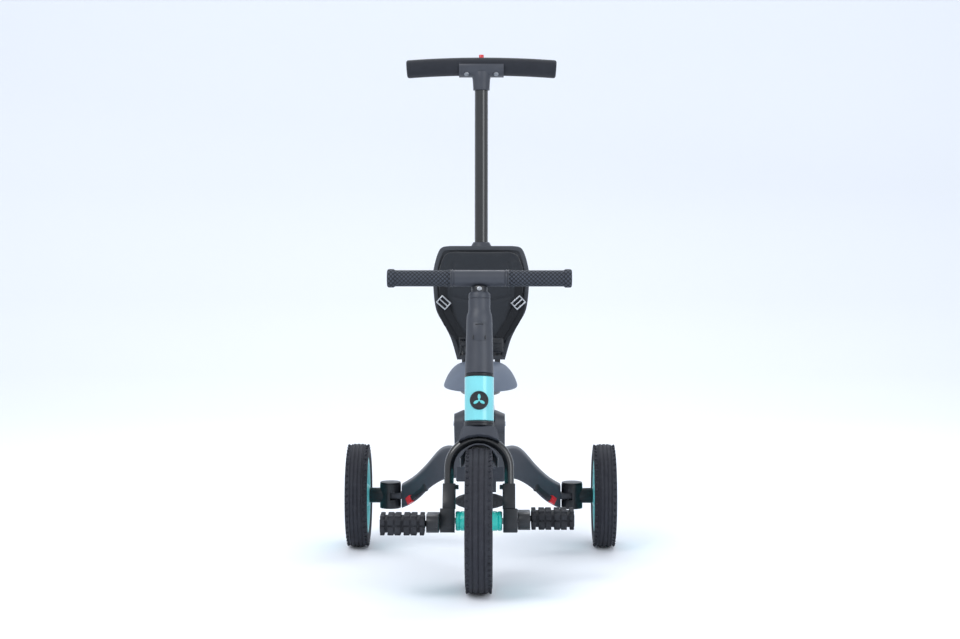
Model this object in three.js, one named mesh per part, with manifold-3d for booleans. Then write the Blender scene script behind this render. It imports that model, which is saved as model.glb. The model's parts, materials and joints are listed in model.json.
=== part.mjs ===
// A toddler's tricycle with a parent's push handle.
// Millimetres, +Z up, floor at z = 0. The front wheel points along -Y and the rider's left is +X.
// Pieces named left and right are on the -X and +X side, as seen from the front.
import * as THREE from 'three';
import { mergeVertices } from 'three/addons/utils/BufferGeometryUtils.js';
import { ConvexGeometry } from 'three/addons/geometries/ConvexGeometry.js';
import Module from 'manifold-3d';

const wasm = await Module();
wasm.setup();

// Clearances
const fit = 0.3;        // between pieces that touch
const running = 0.6;    // between pieces that turn or slide on each other
const swing = 6;        // between pieces that pass each other

// Overall sizes
const wheelbase = 420;
const overallWidth = 495;
const handleTop = 886;
const frontAxleHeight = 120;
const rearAxleHeight = 95;
const rake = THREE.MathUtils.degToRad(12);
const forkOffset = 12;

// Wheels
const frontTyreWidth = 45;
const rearTyreWidth = 41;
const rimShare = 0.74;
const axleRadius = 5;
const hubRadius = 16.2;
const forkGap = 78;         // between the inner faces of the fork covers
const capThickness = 25;    // of the cap over each end of the front axle

// Steering
const forkTubeRadius = 8;
const forkHalfWidth = 50;
const archHeight = 136;     // middle of the fork tube above the axle, along the steering axis
const headTubeRadius = 24.5;
const headTubeLength = 74;
const ringHeight = 8;
const crownHeight = 13;
const steererRadius = 11;
const stemLength = 138;
const stemTopRadius = 18.5;
const barHalfLength = 155.5;
const barRadius = 11;
const gripRadius = 13.8;
const coverRadius = 14.7;
const coverHalfLength = 49.5;

// Cranks and pedals
const crankLength = 65;
const crankRadius = 14.8;
const crankThickness = 20;
const crankTilt = THREE.MathUtils.degToRad(6);
const pedalLength = 73;
const pedalDepth = 54;
const pedalHeight = 32;

// Frame
const boxHalfWidth = 43;
const boxHalfLength = 46;
const neckHalfWidth = 26;
const boltHeight = 268;
const boltSetback = 66;     // from the steering axis to the frame bolt
const tongueRadius = 17;
const cheekRadius = 24;
const armRootSetback = 130; // from the rear axle to the middle of the arm's root
const armDepth = 46;
const pivotSetIn = 59;      // from the middle of a rear tyre to its pivot pin
const blockRadius = 19.5;
const blockHeight = 48;
const blockRise = 1;        // the block's middle lies this far above the axle
const pinRadius = 4;
const slimPinRadius = 3;    // footrest and backrest hinges

// Seat
const seatHeight = 353;
const seatLength = 186;
const seatHalfWidth = 70;
const seatThickness = 46;
const seatRearSetback = 38; // from the rear axle to the back of the saddle
const postRadius = 16;
const postGrip = 32;        // length of the seat post inside the beam
const backHeight = 200;
const backHalfWidth = 88;
const backThickness = 18;
const padThickness = 8;
const backLean = THREE.MathUtils.degToRad(4);

// Push handle
const poleRadius = 12.2;
const poleWall = 2.4;
const socketTop = 548;
const handleHalfLength = 147;
const handleRadius = 16.8;
const handleRise = 6;

// Worked out from the sizes above
const frontWheelRadius = frontAxleHeight;
const rearWheelRadius = rearAxleHeight;
const frontAxleY = -(wheelbase + rearWheelRadius - frontWheelRadius) / 2;
const rearAxleY = frontAxleY + wheelbase;
const rearWheelX = (overallWidth - rearTyreWidth) / 2;
const pivotX = rearWheelX - pivotSetIn;

const skins = {
  turquoise: { color: 0x81d3df, roughness: 0.3, metalness: 0.1 },
  hubGreen: { color: 0x0cc5b7, roughness: 0.35, metalness: 0.1 },
  rimBlue: { color: 0x9ac2c4, roughness: 0.45, metalness: 0.1 },
  darkGrey: { color: 0x494d58, roughness: 0.55, metalness: 0.0 },
  blackPlastic: { color: 0x25282f, roughness: 0.5, metalness: 0.0 },
  rubber: { color: 0x2b2d35, roughness: 0.8, metalness: 0.0 },
  blackSteel: { color: 0x10181c, roughness: 0.2, metalness: 0.6 },
  steel: { color: 0xb8bcc2, roughness: 0.3, metalness: 1.0 },
  saddle: { color: 0x6e7a8a, roughness: 0.6, metalness: 0.0 },
  fabric: { color: 0x3e4349, roughness: 0.9, metalness: 0.0 },
  foam: { color: 0x2d3037, roughness: 0.85, metalness: 0.0 },
  red: { color: 0xc01420, roughness: 0.4, metalness: 0.0 },
};

// ---- Solid modelling helpers ----

function solidOf(geometry) {
  const plain = geometry.clone();
  plain.deleteAttribute('normal');
  plain.deleteAttribute('uv');
  const merged = mergeVertices(plain, 1e-4);
  const mesh = new wasm.Mesh({
    numProp: 3,
    vertProperties: new Float32Array(merged.attributes.position.array),
    triVerts: new Uint32Array(merged.index.array),
  });
  mesh.merge();
  return new wasm.Manifold(mesh);
}

function geometryOf(solid) {
  const mesh = solid.getMesh();
  const geometry = new THREE.BufferGeometry();
  geometry.setAttribute('position', new THREE.Float32BufferAttribute(mesh.vertProperties, 3));
  geometry.setIndex(new THREE.Uint32BufferAttribute(mesh.triVerts, 1));
  const flat = geometry.toNonIndexed();
  flat.computeVertexNormals();
  return flat;
}

function join(...geometries) {
  return geometryOf(geometries.map(solidOf).reduce((sum, next) => sum.add(next)));
}

function cut(geometry, ...tools) {
  return geometryOf(tools.map(solidOf).reduce((rest, tool) => rest.subtract(tool), solidOf(geometry)));
}

// Turns a geometry made about +Y so that it stands along the given axis.
function along(axis, geometry) {
  if (axis === 'x') geometry.rotateZ(-Math.PI / 2);
  if (axis === 'z') geometry.rotateX(Math.PI / 2);
  return geometry;
}

// A turned piece: the profile is a list of [radius, position along the axis].
function turned(axis, profile, segments = 24) {
  const points = profile.map(([radius, height]) => new THREE.Vector2(radius, height));
  return along(axis, new THREE.LatheGeometry(points, segments));
}

function rod(axis, radius, from, to, segments = 20) {
  const geometry = new THREE.CylinderGeometry(radius, radius, to - from, segments);
  geometry.translate(0, (from + to) / 2, 0);
  return along(axis, geometry);
}

function pipe(axis, outer, inner, from, to, segments = 28) {
  return turned(axis, [[inner, from], [outer, from], [outer, to], [inner, to], [inner, from]], segments);
}

function box(x, y, z) {
  const geometry = new THREE.BoxGeometry(x[1] - x[0], y[1] - y[0], z[1] - z[0]);
  return geometry.translate((x[0] + x[1]) / 2, (y[0] + y[1]) / 2, (z[0] + z[1]) / 2);
}

// A plate cut from an outline. The outline's axes are X and Z, and the thickness runs along Y.
function frontPlate(shape, from, to, bevel = 0, curveSegments = 8) {
  const geometry = new THREE.ExtrudeGeometry(shape, {
    depth: to - from - 2 * bevel, curveSegments, steps: 1,
    bevelEnabled: bevel > 0, bevelSize: bevel, bevelThickness: bevel, bevelOffset: -bevel, bevelSegments: 1,
  });
  geometry.translate(0, 0, from + bevel);
  geometry.rotateX(Math.PI / 2);
  geometry.scale(1, -1, 1);
  return flipped(geometry);
}

// A plate whose outline's axes are Y and Z, with its thickness along X.
function sidePlate(shape, from, to, bevel = 0, curveSegments = 8) {
  const geometry = new THREE.ExtrudeGeometry(shape, {
    depth: to - from - 2 * bevel, curveSegments, steps: 1,
    bevelEnabled: bevel > 0, bevelSize: bevel, bevelThickness: bevel, bevelOffset: -bevel, bevelSegments: 1,
  });
  geometry.translate(0, 0, from + bevel);
  geometry.rotateX(Math.PI / 2);
  geometry.rotateZ(Math.PI / 2);
  return geometry;
}

// Mirrored geometry turns inside out, so its triangles are turned round again.
function flipped(geometry) {
  const source = geometry.index ? geometry.toNonIndexed() : geometry;
  const position = source.attributes.position;
  const corner = new THREE.Vector3();
  const other = new THREE.Vector3();
  for (let i = 0; i < position.count; i += 3) {
    corner.fromBufferAttribute(position, i);
    other.fromBufferAttribute(position, i + 1);
    position.setXYZ(i, other.x, other.y, other.z);
    position.setXYZ(i + 1, corner.x, corner.y, corner.z);
  }
  source.computeVertexNormals();
  return source;
}

function mirrored(geometry, side) {
  return side > 0 ? geometry : flipped(geometry.clone().scale(-1, 1, 1));
}

function polygon(points) {
  return new THREE.Shape(points.map(([u, v]) => new THREE.Vector2(u, v)));
}

// Points of a circle in the YZ plane at x, for hulls.
function ring(x, y, z, radius, count = 16) {
  return Array.from({ length: count }, (_, i) => {
    const angle = (2 * Math.PI * i) / count;
    return new THREE.Vector3(x, y + radius * Math.cos(angle), z + radius * Math.sin(angle));
  });
}

function hull(points) {
  return new ConvexGeometry(points);
}

const sides = [['left', -1], ['right', 1]];
const wheelSegments = 32; // a tyre and its rim share their facets
const tricycle = new THREE.Group();
tricycle.name = 'tricycle';

function add(parent, name, geometry, skin) {
  const mesh = new THREE.Mesh(geometry, new THREE.MeshStandardMaterial(skins[skin]));
  mesh.name = name;
  parent.add(mesh);
  return mesh;
}

// ---- Steering frame: its own +Z is the steering axis, its origin is beside the front axle ----

const steeringOrigin = new THREE.Vector3(
  0,
  frontAxleY + forkOffset * Math.cos(rake),
  frontAxleHeight - forkOffset * Math.sin(rake),
);
const steering = new THREE.Group();
steering.position.copy(steeringOrigin);
steering.rotation.x = -rake;
tricycle.add(steering);
steering.updateMatrix();

// A geometry made in the steering frame, moved to the tricycle's own frame.
function fromSteering(geometry) {
  return geometry.applyMatrix4(steering.matrix);
}

// Heights along the steering axis
const crownBottom = archHeight + forkTubeRadius + fit;
const crownTop = crownBottom + crownHeight;
const lowerRingTop = crownTop + fit + ringHeight;
const headBottom = lowerRingTop + fit;
const headTop = headBottom + headTubeLength;
const upperRingTop = headTop + fit + ringHeight * 0.6;
const stemBottom = upperRingTop + running;
const stemTop = stemBottom + stemLength;
const barHeight = stemTop + coverRadius + 9;
const steererTop = stemTop - 40;
const tubeEnd = barHalfLength - 6; // the bar's steel tube stops inside the grips
const legBottom = 22;
const legTop = 88;

function buildFork() {
  const path = new THREE.CurvePath();
  const leg = (side) => new THREE.Vector3(side * forkHalfWidth, 0, legBottom);
  const shoulder = (side) => new THREE.Vector3(side * forkHalfWidth, 0, legTop);
  const crest = new THREE.Vector3(0, 0, archHeight);
  const handle = 0.56;
  const controlUp = (side) => new THREE.Vector3(
    side * forkHalfWidth, 0, legTop + (archHeight - legTop) * handle);
  const controlOut = (side) => new THREE.Vector3(side * forkHalfWidth * handle, 0, archHeight);
  path.add(new THREE.LineCurve3(leg(-1), shoulder(-1)));
  path.add(new THREE.CubicBezierCurve3(shoulder(-1), controlUp(-1), controlOut(-1), crest));
  path.add(new THREE.CubicBezierCurve3(crest, controlOut(1), controlUp(1), shoulder(1)));
  path.add(new THREE.LineCurve3(shoulder(1), leg(1)));
  const tube = (radius, count) => {
    const section = new THREE.Shape();
    section.absarc(0, 0, radius, 0, 2 * Math.PI);
    return new THREE.ExtrudeGeometry(section, { steps: 22, curveSegments: count, extrudePath: path });
  };
  add(steering, 'fork', tube(forkTubeRadius, 6), 'blackSteel');

  // The crown cover sits over the crest of the arch and hides the weld.
  const crownFoot = 34;
  const crownShape = new THREE.Shape();
  crownShape.moveTo(-crownFoot, crownBottom - 13);
  crownShape.quadraticCurveTo(-crownFoot + 4, crownTop - 4, -headTubeRadius - 1, crownTop);
  crownShape.lineTo(headTubeRadius + 1, crownTop);
  crownShape.quadraticCurveTo(crownFoot - 4, crownTop - 4, crownFoot, crownBottom - 13);
  crownShape.quadraticCurveTo(0, crownBottom + 4, -crownFoot, crownBottom - 13);
  const crown = frontPlate(crownShape, -24, 24, 3, 4);
  const steererBore = rod('z', steererRadius + fit, archHeight, crownTop + 5);
  add(steering, 'crown_cover', cut(crown, tube(forkTubeRadius + fit, 6), steererBore), 'darkGrey');

  add(steering, 'steerer', rod('z', steererRadius, crownBottom, steererTop), 'steel');
}

function buildMudguard() {
  // The guard's section is arched, so that it lies just under the arch of the fork.
  const crest = Math.hypot(forkOffset, archHeight) - forkTubeRadius - fit;
  const wall = 2.5;
  const halfWidth = forkGap / 2 - swing;
  const drop = 22;
  const samples = 8;
  const section = Array.from({ length: samples + 1 }, (_, i) => {
    const x = halfWidth * ((2 * i) / samples - 1);
    return [crest - drop * Math.abs(x / halfWidth) ** 2.5, x];
  });
  const lining = section.map(([radius, x]) => [radius - wall, x * (1 - wall / halfWidth)]).reverse();
  const profile = [...section, ...lining, section[0]];
  const band = turned('x', profile, 48);
  const reach = 200;
  const wedge = hull([-halfWidth - 1, halfWidth + 1].flatMap((x) => [
    new THREE.Vector3(x, 0, 0), new THREE.Vector3(x, -reach * 0.12, reach),
    new THREE.Vector3(x, reach * 0.55, reach),
  ]));
  const geometry = geometryOf(solidOf(band).intersect(solidOf(wedge)));
  add(steering, 'mudguard', geometry.translate(0, -forkOffset, 0), 'darkGrey');
}

function buildForkEnds() {
  const innerX = forkGap / 2;
  const seam = 20;
  const coverTop = 62;
  const coverOuter = innerX + capThickness - 4;
  const capOuter = innerX + capThickness;
  const legRoom = forkTubeRadius + 3.5;
  const capHalf = 19;
  const legBore = rod('z', forkTubeRadius + fit, legBottom - fit, coverTop + 5);
  for (const [name, side] of sides) {
    const bore = legBore.clone().translate(side * forkHalfWidth, 0, 0);
    const cover = [];
    const cap = [];
    const corners = (x, height, ...depths) => depths.map((y) => new THREE.Vector3(side * x, y, height));
    for (const x of [innerX, coverOuter]) {
      cover.push(...corners(x, coverTop, -legRoom, legRoom));
      cover.push(...corners(x, seam + fit, -forkOffset - capHalf, legRoom));
      cover.push(...corners(x, seam + 14, -forkOffset - capHalf + 2, -forkOffset + 14));
    }
    for (const x of [innerX + 1, capOuter]) {
      cap.push(...corners(x, seam, -forkOffset - capHalf, -forkOffset + capHalf));
      cap.push(...corners(x, -8, -forkOffset - capHalf, -forkOffset + capHalf));
      cap.push(...corners(x, -capHalf, -forkOffset - 12, -forkOffset + 12));
    }
    const hook = box([innerX - 5, innerX + 4], [-10, 10], [coverTop - 9, coverTop - 2]);
    add(steering, `${name}_fork_cover`, cut(join(hull(cover), mirrored(hook, side)), bore), 'blackPlastic');
    const axleBore = rod('x', axleRadius + running, -capOuter - 5, capOuter + 5);
    add(steering, `${name}_axle_cap`, cut(hull(cap), axleBore.translate(0, -forkOffset, 0)), 'blackPlastic');
  }
}

// ---- Head tube, rings, badge ----

function buildHead() {
  const wall = 4;
  const bushBore = steererRadius + running;
  const bushReach = 14;
  const headTube = pipe('z', headTubeRadius, headTubeRadius - wall, headBottom, headTop, 36);
  add(steering, 'head_tube', headTube, 'turquoise');
  const seat = headTubeRadius - wall - fit;
  const lower = turned('z', [
    [bushBore, crownTop + fit], [headTubeRadius + 1, crownTop + fit], [headTubeRadius + 1, lowerRingTop],
    [seat, lowerRingTop], [seat, lowerRingTop + bushReach], [bushBore, lowerRingTop + bushReach],
    [bushBore, crownTop + fit],
  ], 28);
  add(steering, 'lower_headset_ring', lower, 'blackPlastic');
  const upperFoot = headTop + fit;
  const upper = turned('z', [
    [bushBore, upperFoot - bushReach], [seat, upperFoot - bushReach], [seat, upperFoot],
    [headTubeRadius - 0.5, upperFoot], [headTubeRadius - 0.5, upperRingTop], [bushBore, upperRingTop],
    [bushBore, upperFoot - bushReach],
  ], 28);
  add(steering, 'upper_headset_ring', upper, 'blackPlastic');

  const badgeRadius = 16;
  const middle = (headBottom + headTop) / 2 - 4;
  const disc = turned('y', [
    [0, -headTubeRadius - 2.4], [badgeRadius - 2, -headTubeRadius - 2.4], [badgeRadius, -headTubeRadius - 1],
    [badgeRadius, -headTubeRadius + 7], [0, -headTubeRadius + 7],
  ], 32).translate(0, 0, middle);
  const tube = rod('z', headTubeRadius + fit, headBottom, headTop, 36);
  add(steering, 'badge', cut(disc, tube), 'blackPlastic');
}

// ---- Stem, bar and grips ----

function buildStem() {
  const bore = steererRadius + fit;
  const footRadius = 24.2;
  const waist = stemBottom + stemLength * 0.62;
  const shoulder = stemBottom + stemLength * 0.76;
  const neckTop = barHeight - coverRadius + 6;
  const outer = turned('z', [
    [0, stemBottom], [footRadius, stemBottom], [footRadius - 2.4, waist], [footRadius - 3.2, shoulder - 6],
    [stemTopRadius, shoulder], [stemTopRadius, stemTop - 4], [stemTopRadius - 2.5, stemTop - 1],
    [stemTopRadius - 5, stemTop], [stemTopRadius - 5, neckTop], [0, neckTop],
  ], 28);
  const buttonMiddle = stemBottom + stemLength * 0.5;
  const buttonHalf = [12, 15];
  const pocket = box([-buttonHalf[0] - running, buttonHalf[0] + running], [-40, -footRadius + 7.5],
    [buttonMiddle - buttonHalf[1] - running, buttonMiddle + buttonHalf[1] + running]);
  const cover = rod('x', coverRadius + fit, -coverHalfLength, coverHalfLength, 28).translate(0, 0, barHeight);
  const screwHeight = stemTop + 4.5;
  const screwHole = rod('y', 4 + fit, -30, -stemTopRadius + 10, 16).translate(0, 0, screwHeight);
  const stem = cut(outer, rod('z', bore, stemBottom - 5, steererTop + 3), pocket, cover, screwHole);
  add(steering, 'stem', stem, 'darkGrey');
  const screw = rod('y', 4, -stemTopRadius + 4.5, -stemTopRadius + 9.6, 16).translate(0, 0, screwHeight);
  add(steering, 'bar_screw', screw, 'steel');

  const button = box([-buttonHalf[0], buttonHalf[0]], [-footRadius - 5, -footRadius + 4],
    [buttonMiddle - buttonHalf[1], buttonMiddle + buttonHalf[1]]);
  const face = rod('z', footRadius - 1, buttonMiddle - 20, buttonMiddle + 20, 28);
  add(steering, 'stem_button', geometryOf(solidOf(button).intersect(solidOf(face))), 'blackPlastic');
}

function buildBar() {
  const lift = (geometry) => geometry.translate(0, 0, barHeight);
  add(steering, 'handlebar', lift(rod('x', barRadius, -tubeEnd, tubeEnd)), 'steel');
  const bore = barRadius + fit;
  const lip = 3;
  const cover = turned('x', [
    [bore, -coverHalfLength], [coverRadius, -coverHalfLength], [coverRadius, -coverHalfLength + lip],
    [coverRadius - 0.7, -coverHalfLength + lip + 1], [coverRadius - 0.7, coverHalfLength - lip - 1],
    [coverRadius, coverHalfLength - lip], [coverRadius, coverHalfLength], [bore, coverHalfLength],
    [bore, -coverHalfLength],
  ], 28);
  add(steering, 'bar_cover', lift(cover), 'darkGrey');
  const start = coverHalfLength + fit;
  const flange = 12;
  const barEnd = tubeEnd + fit;
  for (const [name, side] of sides) {
    const grip = turned('x', [
      [bore, start], [gripRadius + 0.8, start], [gripRadius + 0.8, start + 4], [gripRadius, start + 5],
      [gripRadius, barHalfLength - flange], [gripRadius + 1.8, barHalfLength - flange + 1],
      [gripRadius + 1.8, barHalfLength - 2], [gripRadius, barHalfLength], [0, barHalfLength],
      [0, barEnd], [bore, barEnd], [bore, start],
    ], 20);
    add(steering, `${name}_grip`, lift(mirrored(grip, side)), 'rubber');
  }
}

// ---- Wheels ----

// Half of a tyre's section, from the bead out to the middle of the tread.
function tyre(radius, width) {
  const bead = radius * rimShare;
  const depth = radius - bead;
  const half = width / 2;
  const flank = [
    [bead, -half * 0.62], [bead + depth * 0.5, -half], [radius - depth * 0.16, -half * 0.88],
    [radius - depth * 0.03, -half * 0.6], [radius, -half * 0.3],
  ];
  const other = flank.map(([r, x]) => [r, -x]).reverse();
  return turned('x', [...flank, ...other, flank[0]], wheelSegments);
}

function rim(radius, width, bore, hubHalf) {
  const edge = radius * rimShare - fit;
  const half = width / 2 * 0.72;
  const web = 4;
  const boss = bore + 7;
  return turned('x', [
    [bore, -hubHalf], [boss, -hubHalf], [boss + 5, -web], [edge - 15, -web], [edge - 7, -half], [edge, -half],
    [edge, half], [edge - 7, half], [edge - 15, web], [boss + 5, web], [boss, hubHalf], [bore, hubHalf],
    [bore, -hubHalf],
  ], wheelSegments);
}

function stadium(radius, length) {
  const shape = new THREE.Shape();
  shape.absarc(0, 0, radius, Math.PI / 2, 1.5 * Math.PI);
  shape.absarc(length, 0, radius, -Math.PI / 2, Math.PI / 2);
  return shape;
}

const crankInner = forkGap / 2 + capThickness + running;
const crankOuter = crankInner + crankThickness;
const pedalInner = crankOuter + 2;
const pedalOuter = pedalInner + pedalLength;
const spindleEnd = pedalOuter - 6;
const spindleRadius = 5;

function buildFrontWheel() {
  const wheel = new THREE.Group();
  wheel.position.y = -forkOffset;
  steering.add(wheel);
  const hubHalf = forkGap / 2 - running;
  add(wheel, 'front_tyre', tyre(frontWheelRadius, frontTyreWidth), 'rubber');
  add(wheel, 'front_rim', rim(frontWheelRadius, frontTyreWidth, hubRadius + fit, frontTyreWidth * 0.36),
    'rimBlue');
  add(wheel, 'front_hub', pipe('x', hubRadius, axleRadius + fit, -hubHalf, hubHalf), 'hubGreen');
  const axleEnd = crankOuter - 6;
  add(wheel, 'front_axle', rod('x', axleRadius, -axleEnd, axleEnd), 'steel');

  const pedalBody = buildPedalBody();
  for (const [name, side] of sides) {
    // The left crank points ahead and a little up, the right one behind and a little down.
    const crank = new THREE.Group();
    crank.rotation.x = (side < 0 ? Math.PI - crankTilt : -crankTilt) + rake;
    wheel.add(crank);
    const arm = sidePlate(stadium(crankRadius, crankLength), crankInner, crankOuter, 0, 7);
    const spindle = rod('x', spindleRadius, crankOuter - 4, spindleEnd).translate(0, crankLength, 0);
    const bore = rod('x', axleRadius + fit, crankInner - 5, axleEnd + fit);
    add(crank, `${name}_crank`, mirrored(join(cut(arm, bore), spindle), side), 'blackPlastic');
    const pedal = new THREE.Group();
    pedal.position.y = crankLength;
    pedal.rotation.x = -crank.rotation.x + rake;
    crank.add(pedal);
    add(pedal, `${name}_pedal`, mirrored(pedalBody, side), 'rubber');
  }
}

function buildPedalBody() {
  const section = (y, z, chamfer) => polygon([
    [-y + chamfer, -z], [y - chamfer, -z], [y, -z + chamfer], [y, z - chamfer],
    [y - chamfer, z], [-y + chamfer, z], [-y, z - chamfer], [-y, -z + chamfer],
  ]);
  const halfDepth = pedalDepth / 2;
  const halfHeight = pedalHeight / 2;
  const endLength = 9;
  const groove = 3;
  const blockLength = (pedalLength - 2 * endLength - 3 * groove) / 2;
  const core = sidePlate(section(halfDepth - 4, halfHeight - 4, 6), pedalInner + 1, pedalOuter - 1);
  const pieces = [core];
  let x = pedalInner;
  for (const length of [endLength, blockLength, blockLength, endLength]) {
    pieces.push(sidePlate(section(halfDepth, halfHeight, 8), x, x + length));
    x += length + groove;
  }
  const bore = rod('x', spindleRadius + running, pedalInner - 5, spindleEnd + running);
  return cut(join(...pieces), bore);
}

// ---- Frame ----

// The steering axis at a height above the floor.
function axisY(height) {
  return steeringOrigin.y + (height - steeringOrigin.z) * Math.tan(rake);
}

const boltY = axisY(boltHeight) + boltSetback;
const boxFront = rearAxleY - armRootSetback - boxHalfLength;
const boxRear = rearAxleY - armRootSetback + boxHalfLength;
const boxBottom = rearAxleHeight + 52;
const footrestPinY = boxFront + 7.5;
const footrestPinZ = boxBottom - 13;
const boxTop = rearAxleHeight + 110;
const beamRear = rearAxleY + 20;
const poleLean = backLean;
const poleFootHeight = boxTop - 40;
const poleFootY = rearAxleY - 8;
const postY = boxRear - 26;

// A geometry made upright about the pole's foot, moved onto the leaning pole.
function onPole(geometry) {
  return geometry.rotateX(-poleLean).translate(0, poleFootY, poleFootHeight);
}

function buildBeam() {
  const neck = polygon([
    [boltY + cheekRadius * 0.7, boltHeight + cheekRadius * 0.7], [boxFront + 6, boxTop + 18],
    [boxFront + 50, boxTop], [beamRear, boxTop - 2], [beamRear, boxBottom + 10], [beamRear - 40, boxBottom],
    [boxFront + 10, boxBottom], [boxFront - 4, boxBottom + 30], [boltY, boltHeight - cheekRadius],
  ]);
  const housing = polygon([
    [boxFront, boxBottom + 4], [boxFront + 4, boxBottom], [boxRear, boxBottom], [boxRear, boxTop - 6],
    [boxRear - 6, boxTop], [boxFront + 18, boxTop], [boxFront, boxTop - 26],
  ]);
  const cheek = (from, to) => {
    const footY = boltY + 60;
    return hull([from, to].flatMap((x) => [
      ...ring(x, boltY, boltHeight, cheekRadius),
      new THREE.Vector3(x, footY, boxTop + 16), new THREE.Vector3(x, footY, boxTop - 20),
    ]));
  };
  const inner = neckHalfWidth + fit;
  const tongueRoom = rod('x', tongueRadius + 3, -inner, inner, 32).translate(0, boltY, boltHeight);
  const frontRoom = box([-inner, inner], [boltY - 60, boltY + 10], [boltHeight - 40, boltHeight + 60]);
  const lugHalf = 6.5;
  const lugFoot = footrestPinZ - 5.4;
  const lug = (x) => sidePlate(polygon([
    [footrestPinY - lugHalf, boxBottom + 4], [footrestPinY + lugHalf, boxBottom + 4],
    [footrestPinY + lugHalf, lugFoot], [footrestPinY - lugHalf, lugFoot],
  ]), x - 4, x + 4);
  const seatBore = rod('z', postRadius + fit, boxTop - postGrip, boxTop + 40).translate(0, postY, 0);
  const poleBore = onPole(rod('z', poleRadius + poleWall + fit, -fit, 120));
  const boltBore = rod('x', pinRadius + fit, -60, 60).translate(0, boltY, boltHeight);
  const lugBore = rod('x', slimPinRadius + fit, -60, 60).translate(0, footrestPinY, footrestPinZ);
  const body = join(
    sidePlate(neck, -neckHalfWidth, neckHalfWidth, 2), sidePlate(housing, -boxHalfWidth, boxHalfWidth, 2),
    cheek(neckHalfWidth - 6, boxHalfWidth), mirrored(cheek(neckHalfWidth - 6, boxHalfWidth), -1),
    lug(-24), lug(24),
  );
  const beam = cut(body, tongueRoom, frontRoom, seatBore, poleBore, boltBore, lugBore);
  add(tricycle, 'main_beam', beam, 'darkGrey');
  add(tricycle, 'frame_bolt',
    rod('x', pinRadius, -boxHalfWidth - 1.5, boxHalfWidth + 1.5).translate(0, boltY, boltHeight), 'steel');
}

function buildHeadBracket() {
  const half = neckHalfWidth;
  const points = [];
  for (const x of [-half, half]) points.push(...ring(x, boltY, boltHeight, tongueRadius));
  const low = new THREE.Vector3(0, headTubeRadius * 0.7, headBottom + 3).applyMatrix4(steering.matrix);
  const high = new THREE.Vector3(0, headTubeRadius * 0.7, headTop - 8).applyMatrix4(steering.matrix);
  const middle = new THREE.Vector3(0, headTubeRadius * 1.25, headTop - 24).applyMatrix4(steering.matrix);
  for (const x of [-half + 4, half - 4]) {
    for (const point of [low, high, middle]) points.push(new THREE.Vector3(x, point.y, point.z));
  }
  const tube = fromSteering(rod('z', headTubeRadius + fit, headBottom - 20, headTop + 20, 36));
  const ringRadius = headTubeRadius + 1 + running;
  const ringRoom = fromSteering(rod('z', ringRadius, headBottom - 20, headBottom + fit, 36));
  const boltBore = rod('x', pinRadius + fit, -60, 60).translate(0, boltY, boltHeight);
  add(tricycle, 'head_bracket', cut(hull(points), tube, ringRoom, boltBore), 'darkGrey');
}

// How far back the arm's middle has swept at a distance from the centre line.
const armRootX = boxHalfWidth + fit;
const armTipX = pivotX - blockRadius - 2;
const tongueHalfWidth = 11;
const tongueHalfHeight = 6;
function armSweep(x) {
  const share = THREE.MathUtils.clamp((Math.abs(x) - armRootX) / (armTipX - armRootX), 0, 1);
  return rearAxleY - armRootSetback * (1 - share * (1.35 - 0.35 * share));
}

// The arm's upper and lower edges from root to tip: [share of the arm's width, height above the rear axle].
const armCrest = [[0, 107], [0.16, 106], [0.32, 95], [0.56, 63], [0.78, 38], [1, 20]];
const armFoot = [[0, 54], [0.22, 47], [0.46, 28], [0.66, 5], [0.82, -10], [1, -22]];

// Eight corners of the arm's section at a share of the way along its two edges.
function armSection(share) {
  const edge = (points) => new THREE.SplineCurve(points.map(([reach, height]) => new THREE.Vector2(
    armRootX + (armTipX - armRootX) * reach, rearAxleHeight + height))).getPoint(share);
  const top = edge(armCrest);
  const foot = edge(armFoot);
  const chamfer = 6;
  const down = foot.clone().sub(top).normalize().multiplyScalar(chamfer);
  const corner = (point, inset, depth) => {
    const x = point.x + down.x * inset;
    return new THREE.Vector3(x, armSweep(x) + depth, point.y + down.y * inset);
  };
  const half = armDepth / 2;
  return [half, -half].flatMap((depth) => {
    const shallow = depth - Math.sign(depth) * chamfer;
    return [
      corner(top, 0, shallow), corner(top, 1, depth), corner(foot, -1, depth), corner(foot, 0, shallow),
    ];
  });
}

function buildArms() {
  const stations = 6;
  const overlap = 0.15;
  const lengths = Array.from({ length: stations }, (_, i) => hull([
    ...armSection(Math.max(i - overlap, 0) / stations), ...armSection((i + 1) / stations),
  ]));
  const blank = join(...lengths);
  const tongue = hull([-tongueHalfHeight, tongueHalfHeight].flatMap((z) => [
    new THREE.Vector3(armTipX - 14, rearAxleY - tongueHalfWidth, rearAxleHeight + z),
    new THREE.Vector3(armTipX - 14, rearAxleY + tongueHalfWidth, rearAxleHeight + z),
    ...Array.from({ length: 16 }, (_, i) => {
      const angle = (2 * Math.PI * i) / 16;
      const reach = tongueHalfWidth - 1;
      return new THREE.Vector3(
        pivotX + reach * Math.cos(angle), rearAxleY + reach * Math.sin(angle), rearAxleHeight + z);
    }),
  ]));
  const bore = rod('z', pinRadius + fit, 0, 200).translate(pivotX, rearAxleY, 0);
  const arm = cut(join(blank, tongue), bore);
  for (const [name, side] of sides) add(tricycle, `${name}_arm`, mirrored(arm, side), 'darkGrey');
}

// ---- Release levers: red-tipped rockers on the front face of the arms ----

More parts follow.
